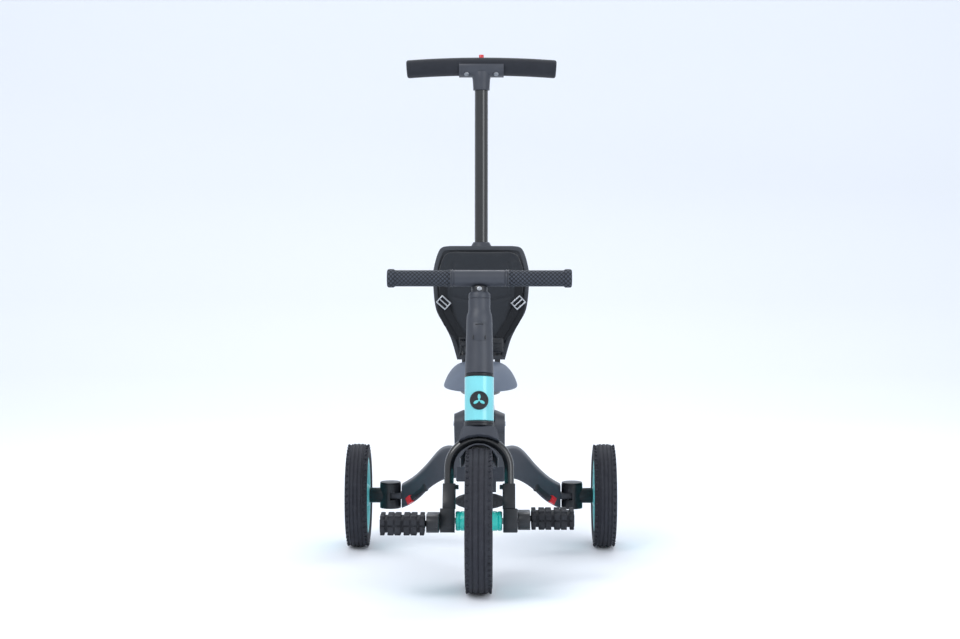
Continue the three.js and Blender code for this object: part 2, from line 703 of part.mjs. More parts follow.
function leverFrame(side) {
  const from = new THREE.Vector2(armRootX + (armTipX - armRootX) * 0.56, rearAxleHeight + 26);
  const to = new THREE.Vector2(armRootX + (armTipX - armRootX) * 0.86, rearAxleHeight - 3);
  const gap = armDepth / 2 + 8;
  const start = new THREE.Vector3(side * from.x, armSweep(from.x) - gap, from.y);
  const end = new THREE.Vector3(side * to.x, armSweep(to.x) - gap, to.y);
  const alongLever = end.clone().sub(start);
  const length = alongLever.length();
  alongLever.normalize();
  const level = new THREE.Vector3(alongLever.x, alongLever.y, 0).normalize();
  const normal = new THREE.Vector3(level.y, -level.x, 0);
  if (normal.y > 0) normal.negate();
  const up = new THREE.Vector3().crossVectors(alongLever, normal).normalize();
  return { start, alongLever, normal, up, length };
}

function buildLevers() {
  for (const [name, side] of sides) {
    const frame = leverFrame(side);
    const lever = new THREE.Group();
    const turn = new THREE.Matrix4().makeBasis(frame.alongLever, frame.normal, frame.up);
    lever.quaternion.setFromRotationMatrix(turn);
    lever.position.copy(frame.start);
    tricycle.add(lever);
    const bar = join(
      rod('y', 7, -2.5, 2.5), box([0, frame.length - 8], [-2.5, 2.5], [-4, 4]),
      box([frame.length - 10, frame.length + 3], [-3, 4], [-6.5, 6.5]),
    );
    add(lever, `${name}_release_lever`, bar, 'red');
  }
}

// ---- Rear wheels and the blocks they swivel in on ----

function buildRearWheels() {
  const blockBottom = rearAxleHeight + blockRise - blockHeight / 2;
  const blockTop = blockBottom + blockHeight;
  const headHeight = 3;
  const wheelInner = rearWheelX - rearTyreWidth / 2;
  const axleEnd = rearWheelX + rearTyreWidth * 0.3;
  const tongueRoom = tongueHalfHeight + running;
  for (const [name, side] of sides) {
    const carrier = new THREE.Group();
    carrier.position.set(side * pivotX, rearAxleY, rearAxleHeight);
    tricycle.add(carrier);
    const low = blockBottom - rearAxleHeight;
    const high = blockTop - headHeight - fit - rearAxleHeight;
    const stubEnd = wheelInner - pivotX - running;
    const slotEnd = tongueHalfWidth + running;
    const slot = join(
      box([-30, 0], [-30, 30], [-tongueRoom, tongueRoom]),
      box([-30, slotEnd], [-slotEnd, 30], [-tongueRoom, tongueRoom]),
    );
    const block = cut(rod('z', blockRadius, low, high, 28), slot, rod('z', pinRadius + fit, -60, 60));
    const stub = rod('x', 14, slotEnd + 0.4, stubEnd, 24);
    const axle = rod('x', axleRadius, stubEnd - 4, axleEnd - pivotX);
    add(carrier, `${name}_wheel_carrier`, mirrored(join(block, stub, axle), side), 'blackPlastic');
    const pin = join(
      rod('z', pinRadius, low + 1, high + fit + 1),
      rod('z', blockRadius - 0.5, high + fit, high + fit + headHeight, 28),
    );
    add(carrier, `${name}_pivot_pin`, pin, 'blackPlastic');

    const wheel = new THREE.Group();
    wheel.position.x = side * (rearWheelX - pivotX);
    carrier.add(wheel);
    add(wheel, `${name}_rear_tyre`, tyre(rearWheelRadius, rearTyreWidth), 'rubber');
    const hubHalf = rearTyreWidth / 2;
    const blank = rim(rearWheelRadius, rearTyreWidth, axleRadius + running, hubHalf);
    const cap = rod('x', 12, axleEnd - rearWheelX + running, hubHalf);
    add(wheel, `${name}_rear_rim`, mirrored(join(blank, cap), side), 'rimBlue');
  }
}

// ---- Footrest ----

function buildFootrest() {
  const shape = new THREE.Shape();
  shape.absellipse(0, -22, 47, 15, 0, 2 * Math.PI);
  const pad = frontPlate(shape, -6, 6, 2, 10);
  const barrel = rod('x', 6.5, -19.4, 19.4);
  const web = box([-19.4, 19.4], [-4, 4], [-14, 0]);
  const footrest = cut(join(pad, barrel, web), rod('x', slimPinRadius + running, -60, 60));
  add(tricycle, 'footrest', footrest.translate(0, footrestPinY, footrestPinZ), 'blackPlastic');
  const pin = rod('x', slimPinRadius, -28, 28).translate(0, footrestPinY, footrestPinZ);
  add(tricycle, 'footrest_pin', pin, 'steel');
}

// ---- Seat ----

const seatRear = rearAxleY - seatRearSetback;
const seatFront = seatRear - seatLength;
const seatBottom = seatHeight - seatThickness;
const hingeY = seatRear + 14;
const hingeZ = seatHeight + 5;

// Points of the saddle's outline at a height, drawn in by an inset.
function saddleRing(z, inset) {
  const points = [];
  const count = 20;
  for (let i = 0; i < count; i += 1) {
    const angle = (2 * Math.PI * i) / count;
    const ahead = (1 - Math.sin(angle)) / 2;
    const half = seatHalfWidth * (1.06 - 0.62 * ahead ** 2) - inset;
    points.push(new THREE.Vector3(
      half * Math.sign(Math.cos(angle)) * Math.abs(Math.cos(angle)) ** 0.72,
      (seatFront + seatRear) / 2 + (seatLength / 2 - inset) * Math.sin(angle),
      z,
    ));
  }
  return points;
}

function buildSeat() {
  const baseHeight = 9;
  const baseTop = seatBottom - fit;
  const baseBottom = baseTop - baseHeight;
  add(tricycle, 'saddle', hull([
    ...saddleRing(seatBottom, 3), ...saddleRing(seatBottom + 10, 0), ...saddleRing(seatHeight - 14, 8),
    ...saddleRing(seatHeight - 3, 24), ...saddleRing(seatHeight, 38),
  ]), 'saddle');
  const plate = hull([...saddleRing(baseBottom, 34), ...saddleRing(baseTop, 28)]);
  const boss = rod('z', postRadius + 8, baseBottom - 26, baseBottom + 2).translate(0, postY, 0);
  const bracket = (x) => sidePlate(polygon([
    [seatRear - 60, baseBottom], [hingeY + 9, baseBottom], [hingeY + 9, hingeZ], [hingeY + 5, hingeZ + 8],
    [hingeY - 5, hingeZ + 8], [hingeY - 9, hingeZ], [hingeY - 11, baseTop], [seatRear - 60, baseTop],
  ]), x - 5, x + 5);
  const bore = rod('z', postRadius + fit, baseBottom - 40, baseBottom - 2).translate(0, postY, 0);
  const pinBore = rod('x', slimPinRadius + fit, -80, 80).translate(0, hingeY, hingeZ);
  const base = cut(join(plate, boss, bracket(-30), bracket(30)), bore, pinBore);
  add(tricycle, 'saddle_base', base, 'blackPlastic');
  const post = rod('z', postRadius, boxTop - postGrip + fit, baseBottom - 2 - fit).translate(0, postY, 0);
  add(tricycle, 'seat_post', post, 'steel');
  add(tricycle, 'seat_hinge_pin', rod('x', slimPinRadius, -36, 36).translate(0, hingeY, hingeZ), 'steel');
}

// Outline of the seat back, drawn in by an inset, with z measured from the hinge.
function backOutline(inset, foot) {
  const at = (share, z) => new THREE.Vector2(backHalfWidth * share - inset, z);
  const top = backHeight - inset;
  const right = [
    at(0.5, foot), at(0.62, backHeight * 0.14 + inset * 0.5), at(0.76, backHeight * 0.27),
    at(0.94, backHeight * 0.42), at(1, backHeight * 0.65), at(0.985, backHeight * 0.8),
    at(0.86, top - 6), at(0.66, top),
  ];
  const shape = new THREE.Shape();
  shape.moveTo(right[0].x, right[0].y);
  shape.splineThru(right.slice(1));
  const left = right.map((point) => new THREE.Vector2(-point.x, point.y)).reverse();
  shape.lineTo(left[0].x, left[0].y);
  shape.splineThru(left.slice(1));
  return shape;
}

const back = new THREE.Group();
back.position.set(0, hingeY, hingeZ);
back.rotation.x = -backLean;
tricycle.add(back);
const backRear = backThickness / 2;
const backFront = -backThickness / 2;
const padFront = backFront - fit - padThickness;

function buildBack() {
  const foot = -8;
  const blank = frontPlate(backOutline(0, foot), backFront, backRear, 3, 2);
  const room = (x) => box([x - 5.6, x + 5.6], [-30, 30], [-30, 11]);
  const shell = cut(blank, room(-30), room(30), rod('x', slimPinRadius + running, -80, 80));
  add(back, 'backrest_shell', shell, 'darkGrey');
  const pad = frontPlate(backOutline(9, 16), padFront, backFront - fit, 3, 2);
  add(back, 'backrest_pad', pad, 'fabric');

  const strapThickness = 2;
  const strapFront = padFront - fit - strapThickness;
  for (const [name, side] of sides) {
    const strap = frontPlate(polygon([
      [64, backHeight * 0.83], [78, backHeight * 0.83], [76, backHeight * 0.5], [38, backHeight * 0.19],
      [22, backHeight * 0.19], [60, backHeight * 0.54],
    ]), strapFront, padFront - fit);
    add(back, `${name}_strap`, mirrored(strap, side), 'fabric');
    const buckleTop = backHeight * 0.19 - fit;
    const buckle = box([18, 42], [strapFront - 8, padFront - fit], [backHeight * 0.06, buckleTop]);
    add(back, `${name}_buckle`, mirrored(buckle, side), 'blackPlastic');
  }
}

// ---- Push handle ----

function buildPushHandle() {
  const socketLength = (socketTop - poleFootHeight) / Math.cos(poleLean);
  const collarHeight = 15;
  const poleGrip = 110; // length of the pole inside its socket
  const bore = poleRadius + running;
  const socketWall = poleRadius + 2 * poleWall;
  const place = (name, geometry, skin) => add(tricycle, name, onPole(geometry), skin);
  const socketBore = rod('z', bore, 20, socketLength + 10);
  const shank = rod('z', poleRadius + poleWall, 0, 70);
  const barrel = rod('z', socketWall, 60, socketLength, 24);
  place('handle_socket', cut(join(shank, barrel), socketBore), 'blackSteel');
  const collar = turned('z', [
    [bore, socketLength + fit], [19.3, socketLength + fit], [19.3, socketLength + collarHeight * 0.4],
    [15.5, socketLength + collarHeight], [bore, socketLength + collarHeight], [bore, socketLength + fit],
  ]);
  place('socket_collar', collar, 'darkGrey');

  const barLevel = (handleTop - poleFootHeight) / Math.cos(poleLean);
  const neckFoot = barLevel - 44;
  const cradleHalf = 41;
  const cradleRadius = handleRadius + 3.4;
  place('push_pole', rod('z', poleRadius, socketLength - poleGrip, neckFoot, 24), 'blackSteel');
  const neck = turned('z', [
    [0, neckFoot + fit], [poleRadius + 3, neckFoot + fit], [poleRadius + 3, neckFoot + 6],
    [poleRadius + 4, neckFoot + 20], [poleRadius + 7, neckFoot + 34], [0, neckFoot + 34],
  ]);
  const level = rod('x', cradleRadius, -cradleHalf, cradleHalf, 24).translate(0, 0, barLevel);
  const above = box([-60, 60], [-40, 40], [barLevel + 3, barLevel + 60]);
  const arch = new THREE.QuadraticBezierCurve3(
    new THREE.Vector3(-handleHalfLength, 0, barLevel - handleRise),
    new THREE.Vector3(0, 0, barLevel + handleRise),
    new THREE.Vector3(handleHalfLength, 0, barLevel - handleRise),
  );
  const bar = (radius) => {
    const section = new THREE.Shape();
    section.absarc(0, 0, radius, 0, 2 * Math.PI);
    return new THREE.ExtrudeGeometry(section, { steps: 8, curveSegments: 8, extrudePath: arch });
  };
  place('t_clamp', cut(join(neck, level), above, bar(handleRadius + fit)), 'darkGrey');
  const buttonRadius = 4.5;
  const buttonHole = rod('z', buttonRadius + running, barLevel + 4, barLevel + 60, 20);
  place('push_grip', cut(bar(handleRadius), buttonHole), 'foam');
  const crest = barLevel + handleRadius;
  place('handle_button', rod('z', buttonRadius, crest - 8, crest + 5, 20), 'red');
}

buildFork();
buildMudguard();
buildForkEnds();
buildHead();
buildStem();
buildBar();
buildFrontWheel();
buildBeam();
buildHeadBracket();
buildArms();
buildLevers();
buildRearWheels();
buildFootrest();
buildSeat();
buildBack();
buildPushHandle();

export default tricycle;
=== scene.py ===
import bpy
import json
import math
from mathutils import Vector, Matrix

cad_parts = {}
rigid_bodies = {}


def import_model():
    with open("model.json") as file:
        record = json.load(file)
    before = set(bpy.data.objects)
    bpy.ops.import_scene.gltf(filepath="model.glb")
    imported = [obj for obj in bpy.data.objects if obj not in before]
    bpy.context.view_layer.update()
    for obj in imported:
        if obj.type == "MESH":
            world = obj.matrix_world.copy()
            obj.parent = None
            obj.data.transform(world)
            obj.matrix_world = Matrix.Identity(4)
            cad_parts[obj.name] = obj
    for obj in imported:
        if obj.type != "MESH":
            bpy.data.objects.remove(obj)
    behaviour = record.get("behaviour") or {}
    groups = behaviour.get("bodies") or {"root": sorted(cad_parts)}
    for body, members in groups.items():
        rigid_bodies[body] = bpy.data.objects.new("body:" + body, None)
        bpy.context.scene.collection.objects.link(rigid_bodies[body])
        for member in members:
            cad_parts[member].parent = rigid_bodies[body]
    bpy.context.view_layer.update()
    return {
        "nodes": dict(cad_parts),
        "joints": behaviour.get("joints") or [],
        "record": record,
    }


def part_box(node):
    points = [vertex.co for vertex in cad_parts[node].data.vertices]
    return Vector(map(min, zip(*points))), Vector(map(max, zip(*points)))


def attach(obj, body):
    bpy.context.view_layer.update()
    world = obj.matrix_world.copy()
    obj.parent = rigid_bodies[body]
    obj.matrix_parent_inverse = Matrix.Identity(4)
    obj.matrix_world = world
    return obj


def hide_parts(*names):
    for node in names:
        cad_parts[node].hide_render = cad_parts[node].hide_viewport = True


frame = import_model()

nodes = frame["nodes"]
joints = {joint["name"]: joint for joint in frame["joints"]}
slotOf = {entry["node"]: entry["material_slot"] for entry in frame["record"]["subparts"]}
bodyOf = {node: body for body, held in frame["record"]["behaviour"]["bodies"].items() for node in held}
mm = 0.001
bpy.ops.object.select_all(action="DESELECT")

# camera, light and floor

studio = {
    "cameraPlace": (0.034, -3.6175, 0.717),
    "cameraPitch": 4.4,
    "cameraTurn": 0.54,
    "lens": 78.45,
    "skyTone": (0.925, 0.955, 1.0),
    "skyStrength": 0.86,
}


def addCamera():
    bpy.ops.object.camera_add(location=studio["cameraPlace"])
    camera = bpy.context.object
    camera.name = "viewCamera"
    camera.rotation_euler = (math.radians(90 - studio["cameraPitch"]), 0, math.radians(studio["cameraTurn"]))
    camera.data.lens = studio["lens"]
    camera.data.sensor_width = 36
    camera.data.clip_end = 60
    bpy.context.scene.camera = camera


def addLamp(name, place, aim, size, power, tone=(1, 1, 1)):
    bpy.ops.object.light_add(type="AREA", location=place)
    lamp = bpy.context.object
    lamp.name = name
    lamp.data.shape = "RECTANGLE"
    lamp.data.size, lamp.data.size_y = size
    lamp.data.energy = power
    lamp.data.color = tone
    lamp.rotation_euler = (Vector(aim) - Vector(place)).to_track_quat("-Z", "Y").to_euler()


def addStudio():
    addCamera()
    addLamp("keyLamp", (-1.5, -1.8, 2.6), (0, 0, 0.4), (1.6, 1.6), 42)
    addLamp("fillLamp", (1.9, -2.0, 1.3), (0, 0, 0.4), (1.4, 2.0), 24, (0.95, 0.98, 1))
    addLamp("rimLamp", (0.3, 1.9, 2.4), (0, 0, 0.5), (2.2, 1.0), 26)
    world = bpy.data.worlds.new("studioSky")
    bpy.context.scene.world = world
    world.use_nodes = True
    sky = world.node_tree.nodes["Background"]
    sky.inputs["Color"].default_value = (*studio["skyTone"], 1)
    sky.inputs["Strength"].default_value = studio["skyStrength"]
    bpy.context.scene.view_settings.view_transform = "Standard"


addStudio()
print("studio ready")

# shader maths


class Wire:
    def __init__(self, graph, socket):
        self.graph = graph
        self.socket = socket

    def maths(self, operation, *others):
        inputs = {0: self}
        for place, other in enumerate(others, 1):
            inputs[place] = other
        return self.graph.add("ShaderNodeMath", {"operation": operation}, inputs)[0]

    def __add__(self, other):
        return self.maths("ADD", other)

    def __radd__(self, other):
        return self.maths("ADD", other)

    def __sub__(self, other):
        return self.maths("SUBTRACT", other)

    def __rsub__(self, other):
        return (self * -1) + other

    def __mul__(self, other):
        return self.maths("MULTIPLY", other)

    def __rmul__(self, other):
        return self.maths("MULTIPLY", other)

    def __pow__(self, other):
        return self.maths("POWER", other)

    def __rpow__(self, other):
        return self.graph.add("ShaderNodeMath", {"operation": "POWER"}, {0: other, 1: self})[0]

    def __abs__(self):
        return self.maths("ABSOLUTE")

    def sine(self):
        return self.maths("SINE")

    def clamped(self):
        return self.graph.add("ShaderNodeClamp", {}, {0: self})[0]

    def arcTangent(self, other):
        return self.maths("ARCTAN2", other)


class Graph:
    def __init__(self, name):
        self.material = bpy.data.materials.new(name)
        self.material.use_nodes = True
        self.tree = self.material.node_tree
        self.shader = self.tree.nodes["Principled BSDF"]
        self.place = self.add("ShaderNodeTexCoord", {}, {})["Object"]

    def add(self, kind, settings, inputs):
        node = self.tree.nodes.new(kind)
        for key, value in settings.items():
            if key == "stops":
                ramp = node.color_ramp
                while len(ramp.elements) < len(value):
                    ramp.elements.new(1)
                for element, (position, colour) in zip(ramp.elements, value):
                    element.position = position
                    element.color = colour
            else:
                setattr(node, key, value)
        for key, value in inputs.items():
            self.feed(node.inputs[key], value)
        return Outputs(self, node)

    def feed(self, socket, value):
        if isinstance(value, Wire):
            self.tree.links.new(value.socket, socket)
        else:
            socket.default_value = value

    def noise(self, scale, detail=3, roughness=0.5, at=None):
        return self.add("ShaderNodeTexNoise", {}, {
            "Vector": at or self.place, "Scale": scale, "Detail": detail, "Roughness": roughness})["Fac"]

    def cells(self, scale):
        return self.add("ShaderNodeTexVoronoi", {}, {"Vector": self.place, "Scale": scale})["Distance"]

    def blend(self, share, first, second):
        mix = self.add("ShaderNodeMix", {"data_type": "RGBA"}, {})
        for place, value in ((0, share), (6, first), (7, second)):
            self.feed(mix.node.inputs[place], value)
        return Wire(self, mix.node.outputs[2])

    def axes(self):
        split = self.add("ShaderNodeSeparateXYZ", {}, {0: self.place})
        return split["X"], split["Y"], split["Z"]

    def relief(self, height, strength, distance):
        bump = self.add("ShaderNodeBump", {}, {"Height": height, "Strength": strength, "Distance": distance})
        self.feed(self.shader.inputs["Normal"], bump["Normal"])

    def surface(self, **values):
        for key, value in values.items():
            name = {"base": "Base Color", "rough": "Roughness", "metal": "Metallic", "coat": "Coat Weight",
                    "coatRough": "Coat Roughness", "sheen": "Sheen Weight", "sheenRough": "Sheen Roughness",
                    "specular": "Specular IOR Level"}[key]
            self.feed(self.shader.inputs[name], value)
        return self.material


class Outputs:
    def __init__(self, graph, node):
        self.graph = graph
        self.node = node

    def __getitem__(self, key):
        return Wire(self.graph, self.node.outputs[key])


def tone(red, green, blue):
    def linear(part):
        part = part / 255
        return part / 12.92 if part <= 0.04045 else ((part + 0.055) / 1.055) ** 2.4
    return (linear(red), linear(green), linear(blue), 1)


def scaled(colour, factor, lift=0.0):
    # a lighter or darker shade of a colour
    return tuple(min(part * factor + lift, 1) for part in colour[:3]) + (1,)


# finishes


def mouldedPlastic(name, colour, roughness=0.5, grain=1400, grainDepth=0.00006):
    graph = Graph(name)
    broad = graph.noise(26, 4, 0.6)
    fine = graph.noise(grain, 2, 0.6)
    scuff = (graph.noise(95, 6, 0.75) - 0.62).clamped() * 3.2
    base = graph.blend(broad, scaled(colour, 0.82), scaled(colour, 1.22, 0.006))
    base = graph.blend(scuff.clamped() * 0.35, base, scaled(colour, 1.15, 0.03))
    graph.relief(fine + broad * 0.4, 0.55, grainDepth)
    rough = (broad - 0.5) * 0.12 + roughness + scuff * 0.08
    return graph.surface(base=base, rough=rough.clamped(), coat=0.0, specular=0.45)


def glossPaint(name, colour, roughness=0.22):
    graph = Graph(name)
    broad = graph.noise(18, 3, 0.5)
    peel = graph.noise(420, 2, 0.5)
    fleck = graph.cells(2600)
    base = graph.blend(broad * 0.7 + fleck * 0.4, scaled(colour, 0.86), scaled(colour, 1.1))
    graph.relief(peel, 0.25, 0.00008)
    rough = graph.noise(70, 5, 0.7) * 0.14 + (roughness - 0.06)
    return graph.surface(base=base, rough=rough, coat=0.6, coatRough=0.08, specular=0.5)


def blackGloss(name, colour, roughness=0.16):
    graph = Graph(name)
    smear = graph.noise(46, 6, 0.7)
    peel = graph.noise(520, 2, 0.5)
    base = graph.blend(smear, colour, scaled(colour, 1.6, 0.004))
    graph.relief(peel, 0.2, 0.00006)
    return graph.surface(base=base, rough=smear * 0.16 + roughness, coat=0.5, coatRough=0.06, specular=0.55)


def tyreRubber(name, colour):
    graph = Graph(name)
    broad = graph.noise(34, 5, 0.65)
    fine = graph.noise(1900, 3, 0.7)
    dust = (graph.noise(130, 6, 0.8) - 0.5).clamped() * 1.6
    base = graph.blend(broad, colour, scaled(colour, 1.5, 0.008))
    base = graph.blend(dust.clamped() * 0.3, base, tone(104, 108, 116))
    graph.relief(fine + broad * 0.5, 0.7, 0.00012)
    return graph.surface(base=base, rough=0.86 - broad * 0.22, specular=0.35)


def brushedSteel(name, colour, roughness=0.3):
    graph = Graph(name)
    x, y, z = graph.axes()
    stretched = graph.add("ShaderNodeCombineXYZ", {}, {0: x * 14, 1: y, 2: z * 1.0})["Vector"]
    streaks = graph.noise(320, 4, 0.7, stretched)
    base = graph.blend(streaks, scaled(colour, 0.7), colour)
    graph.relief(streaks, 0.3, 0.00005)
    return graph.surface(base=base, rough=streaks * 0.22 + roughness - 0.1, metal=1.0)


def wovenCloth(name, colour, pitch=0.0011, sheen=0.25):
    graph = Graph(name)
    x, y, z = graph.axes()
    turn = 2 * math.pi / pitch
    warp = (x * turn).sine()
    weft = (z * turn).sine()
    over = (warp * weft) * 0.5 + 0.5
    fuzz = graph.noise(1500, 4, 0.75)
    broad = graph.noise(30, 4, 0.6)
    weave = (over * 0.6 + fuzz * 0.25 + broad * 0.2).clamped()
    base = graph.blend(weave, scaled(colour, 0.55), scaled(colour, 1.45, 0.004))
    graph.relief(over + fuzz * 0.6, 0.8, 0.00022)
    return graph.surface(base=base, rough=fuzz * 0.15 + 0.78, sheen=sheen, sheenRough=0.5, specular=0.25)


def foamSkin(name, colour):
    graph = Graph(name)
    pores = graph.cells(1500)
    broad = graph.noise(40, 4, 0.6)
    fine = graph.noise(900, 4, 0.8)
    base = graph.blend((pores * 0.8 + broad * 0.35).clamped(), colour, scaled(colour, 1.55, 0.006))
    graph.relief(pores + fine * 0.8, 0.7, 0.0002)
    return graph.surface(base=base, rough=0.92 - broad * 0.12, sheen=0.12, specular=0.3)


def embossedGrip(name, colour, centre, pitch=0.0145):
    # raised lozenges wind round the bar: angle and distance along it make two crossing sets of ribs
    graph = Graph(name)
    x, y, z = graph.axes()
    angle = (y - centre[1]).arcTangent(z - centre[2])
    turns = 6
    rise = x * (2 * math.pi / pitch)
    one = (rise + angle * turns).sine()
    two = (rise - angle * turns).sine()
    lozenge = ((abs(one) * abs(two)) ** 0.5 * 1.9 - 0.35).clamped()
    fine = graph.noise(1600, 3, 0.7)
    broad = graph.noise(50, 4, 0.6)
    # the grooves between the lozenges are painted dark as shade, and the raised lozenges are painted lighter
    # as light falling on them
    share = (lozenge * 0.85 + broad * 0.15).clamped()
    base = graph.blend(share, scaled(colour, 0.25), scaled(colour, 1.7, 0.008))
    graph.relief(lozenge + fine * 0.12, 1.0, 0.0016)
    return graph.surface(base=base, rough=0.74 - lozenge * 0.12, specular=0.35)


def paperFloor(name, first, second):
    graph = Graph(name)
    broad = graph.noise(0.6, 2, 0.4)
    base = graph.blend(broad, first, second)
    return graph.surface(base=base, rough=broad * 0.1 + 0.75, specular=0.15)


def cornersOf(node):
    # lowest and highest corner of a CAD node as it stands, in millimetres
    low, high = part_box(node)
    return Vector(low) / mm, Vector(high) / mm


def middleOf(node):
    low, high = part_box(node)
    return Vector(low).lerp(Vector(high), 0.5)


barCentre = middleOf("handlebar")
finishes = {
    "turquoise_paint": glossPaint("turquoisePaint", tone(118, 205, 214)),
    "green_plastic": glossPaint("hubGreenPlastic", tone(12, 190, 178), 0.3),
    "pale_blue_plastic": mouldedPlastic("paleBluePlastic", tone(96, 192, 196), 0.42, 1100, 0.00004),
    "dark_grey_plastic": mouldedPlastic("darkGreyPlastic", tone(52, 56, 65), 0.44),
    "black_plastic": mouldedPlastic("blackPlastic", tone(25, 28, 34), 0.36),
    "tyre_rubber": tyreRubber("tyreRubber", tone(29, 31, 39)),
    "grip_rubber": embossedGrip("embossedGrip", tone(44, 49, 58), barCentre),
    "handle_foam": foamSkin("handleFoam", tone(26, 29, 36)),
    "black_steel": blackGloss("blackSteel", tone(12, 15, 19)),
    "bare_steel": brushedSteel("bareSteel", tone(190, 194, 200)),
    # the saddle's own colour is a dark bluish grey; the lighter grey given here is partly that colour and
    # partly painted light falling from above
    "saddle_plastic": mouldedPlastic("saddlePlasticPaintedLight", tone(92, 102, 118), 0.5, 900, 0.00012),
    "pad_fabric": wovenCloth("padFabric", tone(34, 38, 44)),
    "red_plastic": glossPaint("redPlastic", tone(196, 22, 34), 0.3),
}
finishes["pedalRubber"] = tyreRubber("pedalRubber", tone(26, 28, 34))
finishes["studioFloor"] = paperFloor("studioFloor", tone(238, 242, 249), tone(242, 246, 252))
print("finishes ready")


def paint(piece, finish):
    if not piece.material_slots:
        piece.data.materials.append(finish)
    for entry in piece.material_slots:
        entry.link = "OBJECT"
        entry.material = finish


for name, node in nodes.items():
    paint(node, finishes[slotOf[name]])

# the places where pieces are built: local +Z is the turning axis or the upright


def bench(origin, up, across=(1, 0, 0)):
    up = Vector(up).normalized()
    across = Vector(across)
    across = (across - up * across.dot(up)).normalized()
    deep = up.cross(across)
    return Matrix((
        (across.x, deep.x, up.x, origin[0]),
        (across.y, deep.y, up.y, origin[1]),
        (across.z, deep.z, up.z, origin[2]),
        (0, 0, 0, 1)))


def measured(node, place):
    # lowest and highest corner of a CAD node on a bench, in millimetres
    inverse = place.inverted()
    corners = [(inverse @ vertex.co) / mm for vertex in nodes[node].data.vertices]
    low = Vector([min(corner[i] for corner in corners) for i in range(3)])
    high = Vector([max(corner[i] for corner in corners) for i in range(3)])
    return low, high


steerJoint = joints["steering"]
steerBench = bench(steerJoint["pos_m"], steerJoint["axis"])
poleAxis = -Vector(joints["handle_button_press"]["axis"])
poleBench = bench(middleOf("push_pole"), poleAxis)
backBench = bench(joints["backrest_fold"]["pos_m"], poleAxis)
barBench = bench(barCentre, (1, 0, 0), (0, 1, 0))


def startPiece(name, place=(0, 0, 0)):
    # a plane drawn together to one point, from which an outline is extruded
    bpy.ops.object.select_all(action="DESELECT")
    bpy.ops.mesh.primitive_plane_add(size=mm)
    piece = bpy.context.object
    piece.name = piece.data.name = name
    bpy.ops.object.mode_set(mode="EDIT")
    bpy.ops.mesh.select_all(action="SELECT")
    bpy.ops.mesh.merge(type="CENTER")
    bpy.ops.transform.translate(value=Vector(place) * mm)
    return piece


def drawOutline(points, closed=True):
    points = [Vector(point) * mm for point in points]
    for before, after in zip(points, points[1:]):
        bpy.ops.mesh.extrude_vertices_move(TRANSFORM_OT_translate={"value": after - before})
    if closed:
        bpy.ops.mesh.extrude_vertices_move(TRANSFORM_OT_translate={"value": points[0] - points[-1]})
        bpy.ops.mesh.select_all(action="SELECT")
        bpy.ops.mesh.remove_doubles(threshold=1e-6)


def turnedShell(name, profile, steps=64, closed=True):
    # profile points are (radius, height); a profile that isn't closed starts and ends on the axis
    points = [(radius, 0, height) for radius, height in profile]
    piece = startPiece(name, points[0])
    drawOutline(points, closed)
    bpy.ops.mesh.select_all(action="SELECT")
    bpy.ops.mesh.spin(steps=steps, angle=2 * math.pi, center=(0, 0, 0), axis=(0, 0, 1))
    bpy.ops.mesh.select_all(action="SELECT")
    bpy.ops.mesh.remove_doubles(threshold=2e-6)
    bpy.ops.mesh.normals_make_consistent(inside=False)
    bpy.ops.object.mode_set(mode="OBJECT")
    return piece


def outlinePlate(name, points, thickness, direction=(0, 1, 0)):
    piece = startPiece(name, points[0])
    drawOutline(points)
    bpy.ops.mesh.select_all(action="SELECT")
    bpy.ops.mesh.edge_face_add()
    bpy.ops.mesh.extrude_region_move(
        TRANSFORM_OT_translate={"value": Vector(direction) * thickness * mm})
    bpy.ops.mesh.select_all(action="SELECT")
    bpy.ops.mesh.normals_make_consistent(inside=False)
    bpy.ops.object.mode_set(mode="OBJECT")
    return piece


def roundedBlock(name, size, place, bevel, turn=(0, 0, 0), segments=2):
    # sizes and place in millimetres, edges rounded in edit mode
    bpy.ops.object.select_all(action="DESELECT")
    bpy.ops.mesh.primitive_cube_add(size=1, location=Vector(place) * mm, rotation=turn)
    piece = bpy.context.object
    piece.name = piece.data.name = name
    piece.scale = Vector(size) * mm
    bpy.ops.object.transform_apply(location=True, rotation=True, scale=True)
    bpy.ops.object.mode_set(mode="EDIT")
    bpy.ops.mesh.select_all(action="SELECT")
    bpy.ops.mesh.bevel(offset=bevel * mm, segments=segments, affect="EDGES")
    bpy.ops.object.mode_set(mode="OBJECT")
    return piece


def joined(name, pieces):
    bpy.ops.object.select_all(action="DESELECT")
    for piece in pieces:
        piece.select_set(True)
    bpy.context.view_layer.objects.active = pieces[0]
    bpy.ops.object.join()
    piece = bpy.context.object
    piece.name = piece.data.name = name
    return piece


def only(piece):
    bpy.ops.object.select_all(action="DESELECT")
    piece.select_set(True)
    bpy.context.view_layer.objects.active = piece


def rowSkin(name, rows):
    # a flat face is given the first row's shape, and each further row is extruded and set in its place
    rows = [[Vector(point) * mm for point in row] for row in rows]
    bpy.ops.object.select_all(action="DESELECT")
    bpy.ops.mesh.primitive_circle_add(vertices=len(rows[0]), radius=mm, fill_type="NGON")
    piece = bpy.context.object
    piece.name = piece.data.name = name
    for vertex, point in zip(piece.data.vertices, rows[0]):
        vertex.co = point
    bpy.ops.object.mode_set(mode="EDIT")
    bpy.ops.mesh.select_all(action="SELECT")
    for before, row in zip(rows, rows[1:]):
        bpy.ops.mesh.extrude_region_move()
        bpy.ops.object.mode_set(mode="OBJECT")
        for vertex in piece.data.vertices:
            if vertex.select:
                nearest = min(range(len(row)), key=lambda k: (before[k] - vertex.co).length)
                vertex.co = row[nearest]
        bpy.ops.object.mode_set(mode="EDIT")
    bpy.ops.mesh.select_all(action="SELECT")
    bpy.ops.mesh.normals_make_consistent(inside=False)
    bpy.ops.object.mode_set(mode="OBJECT")
    return piece


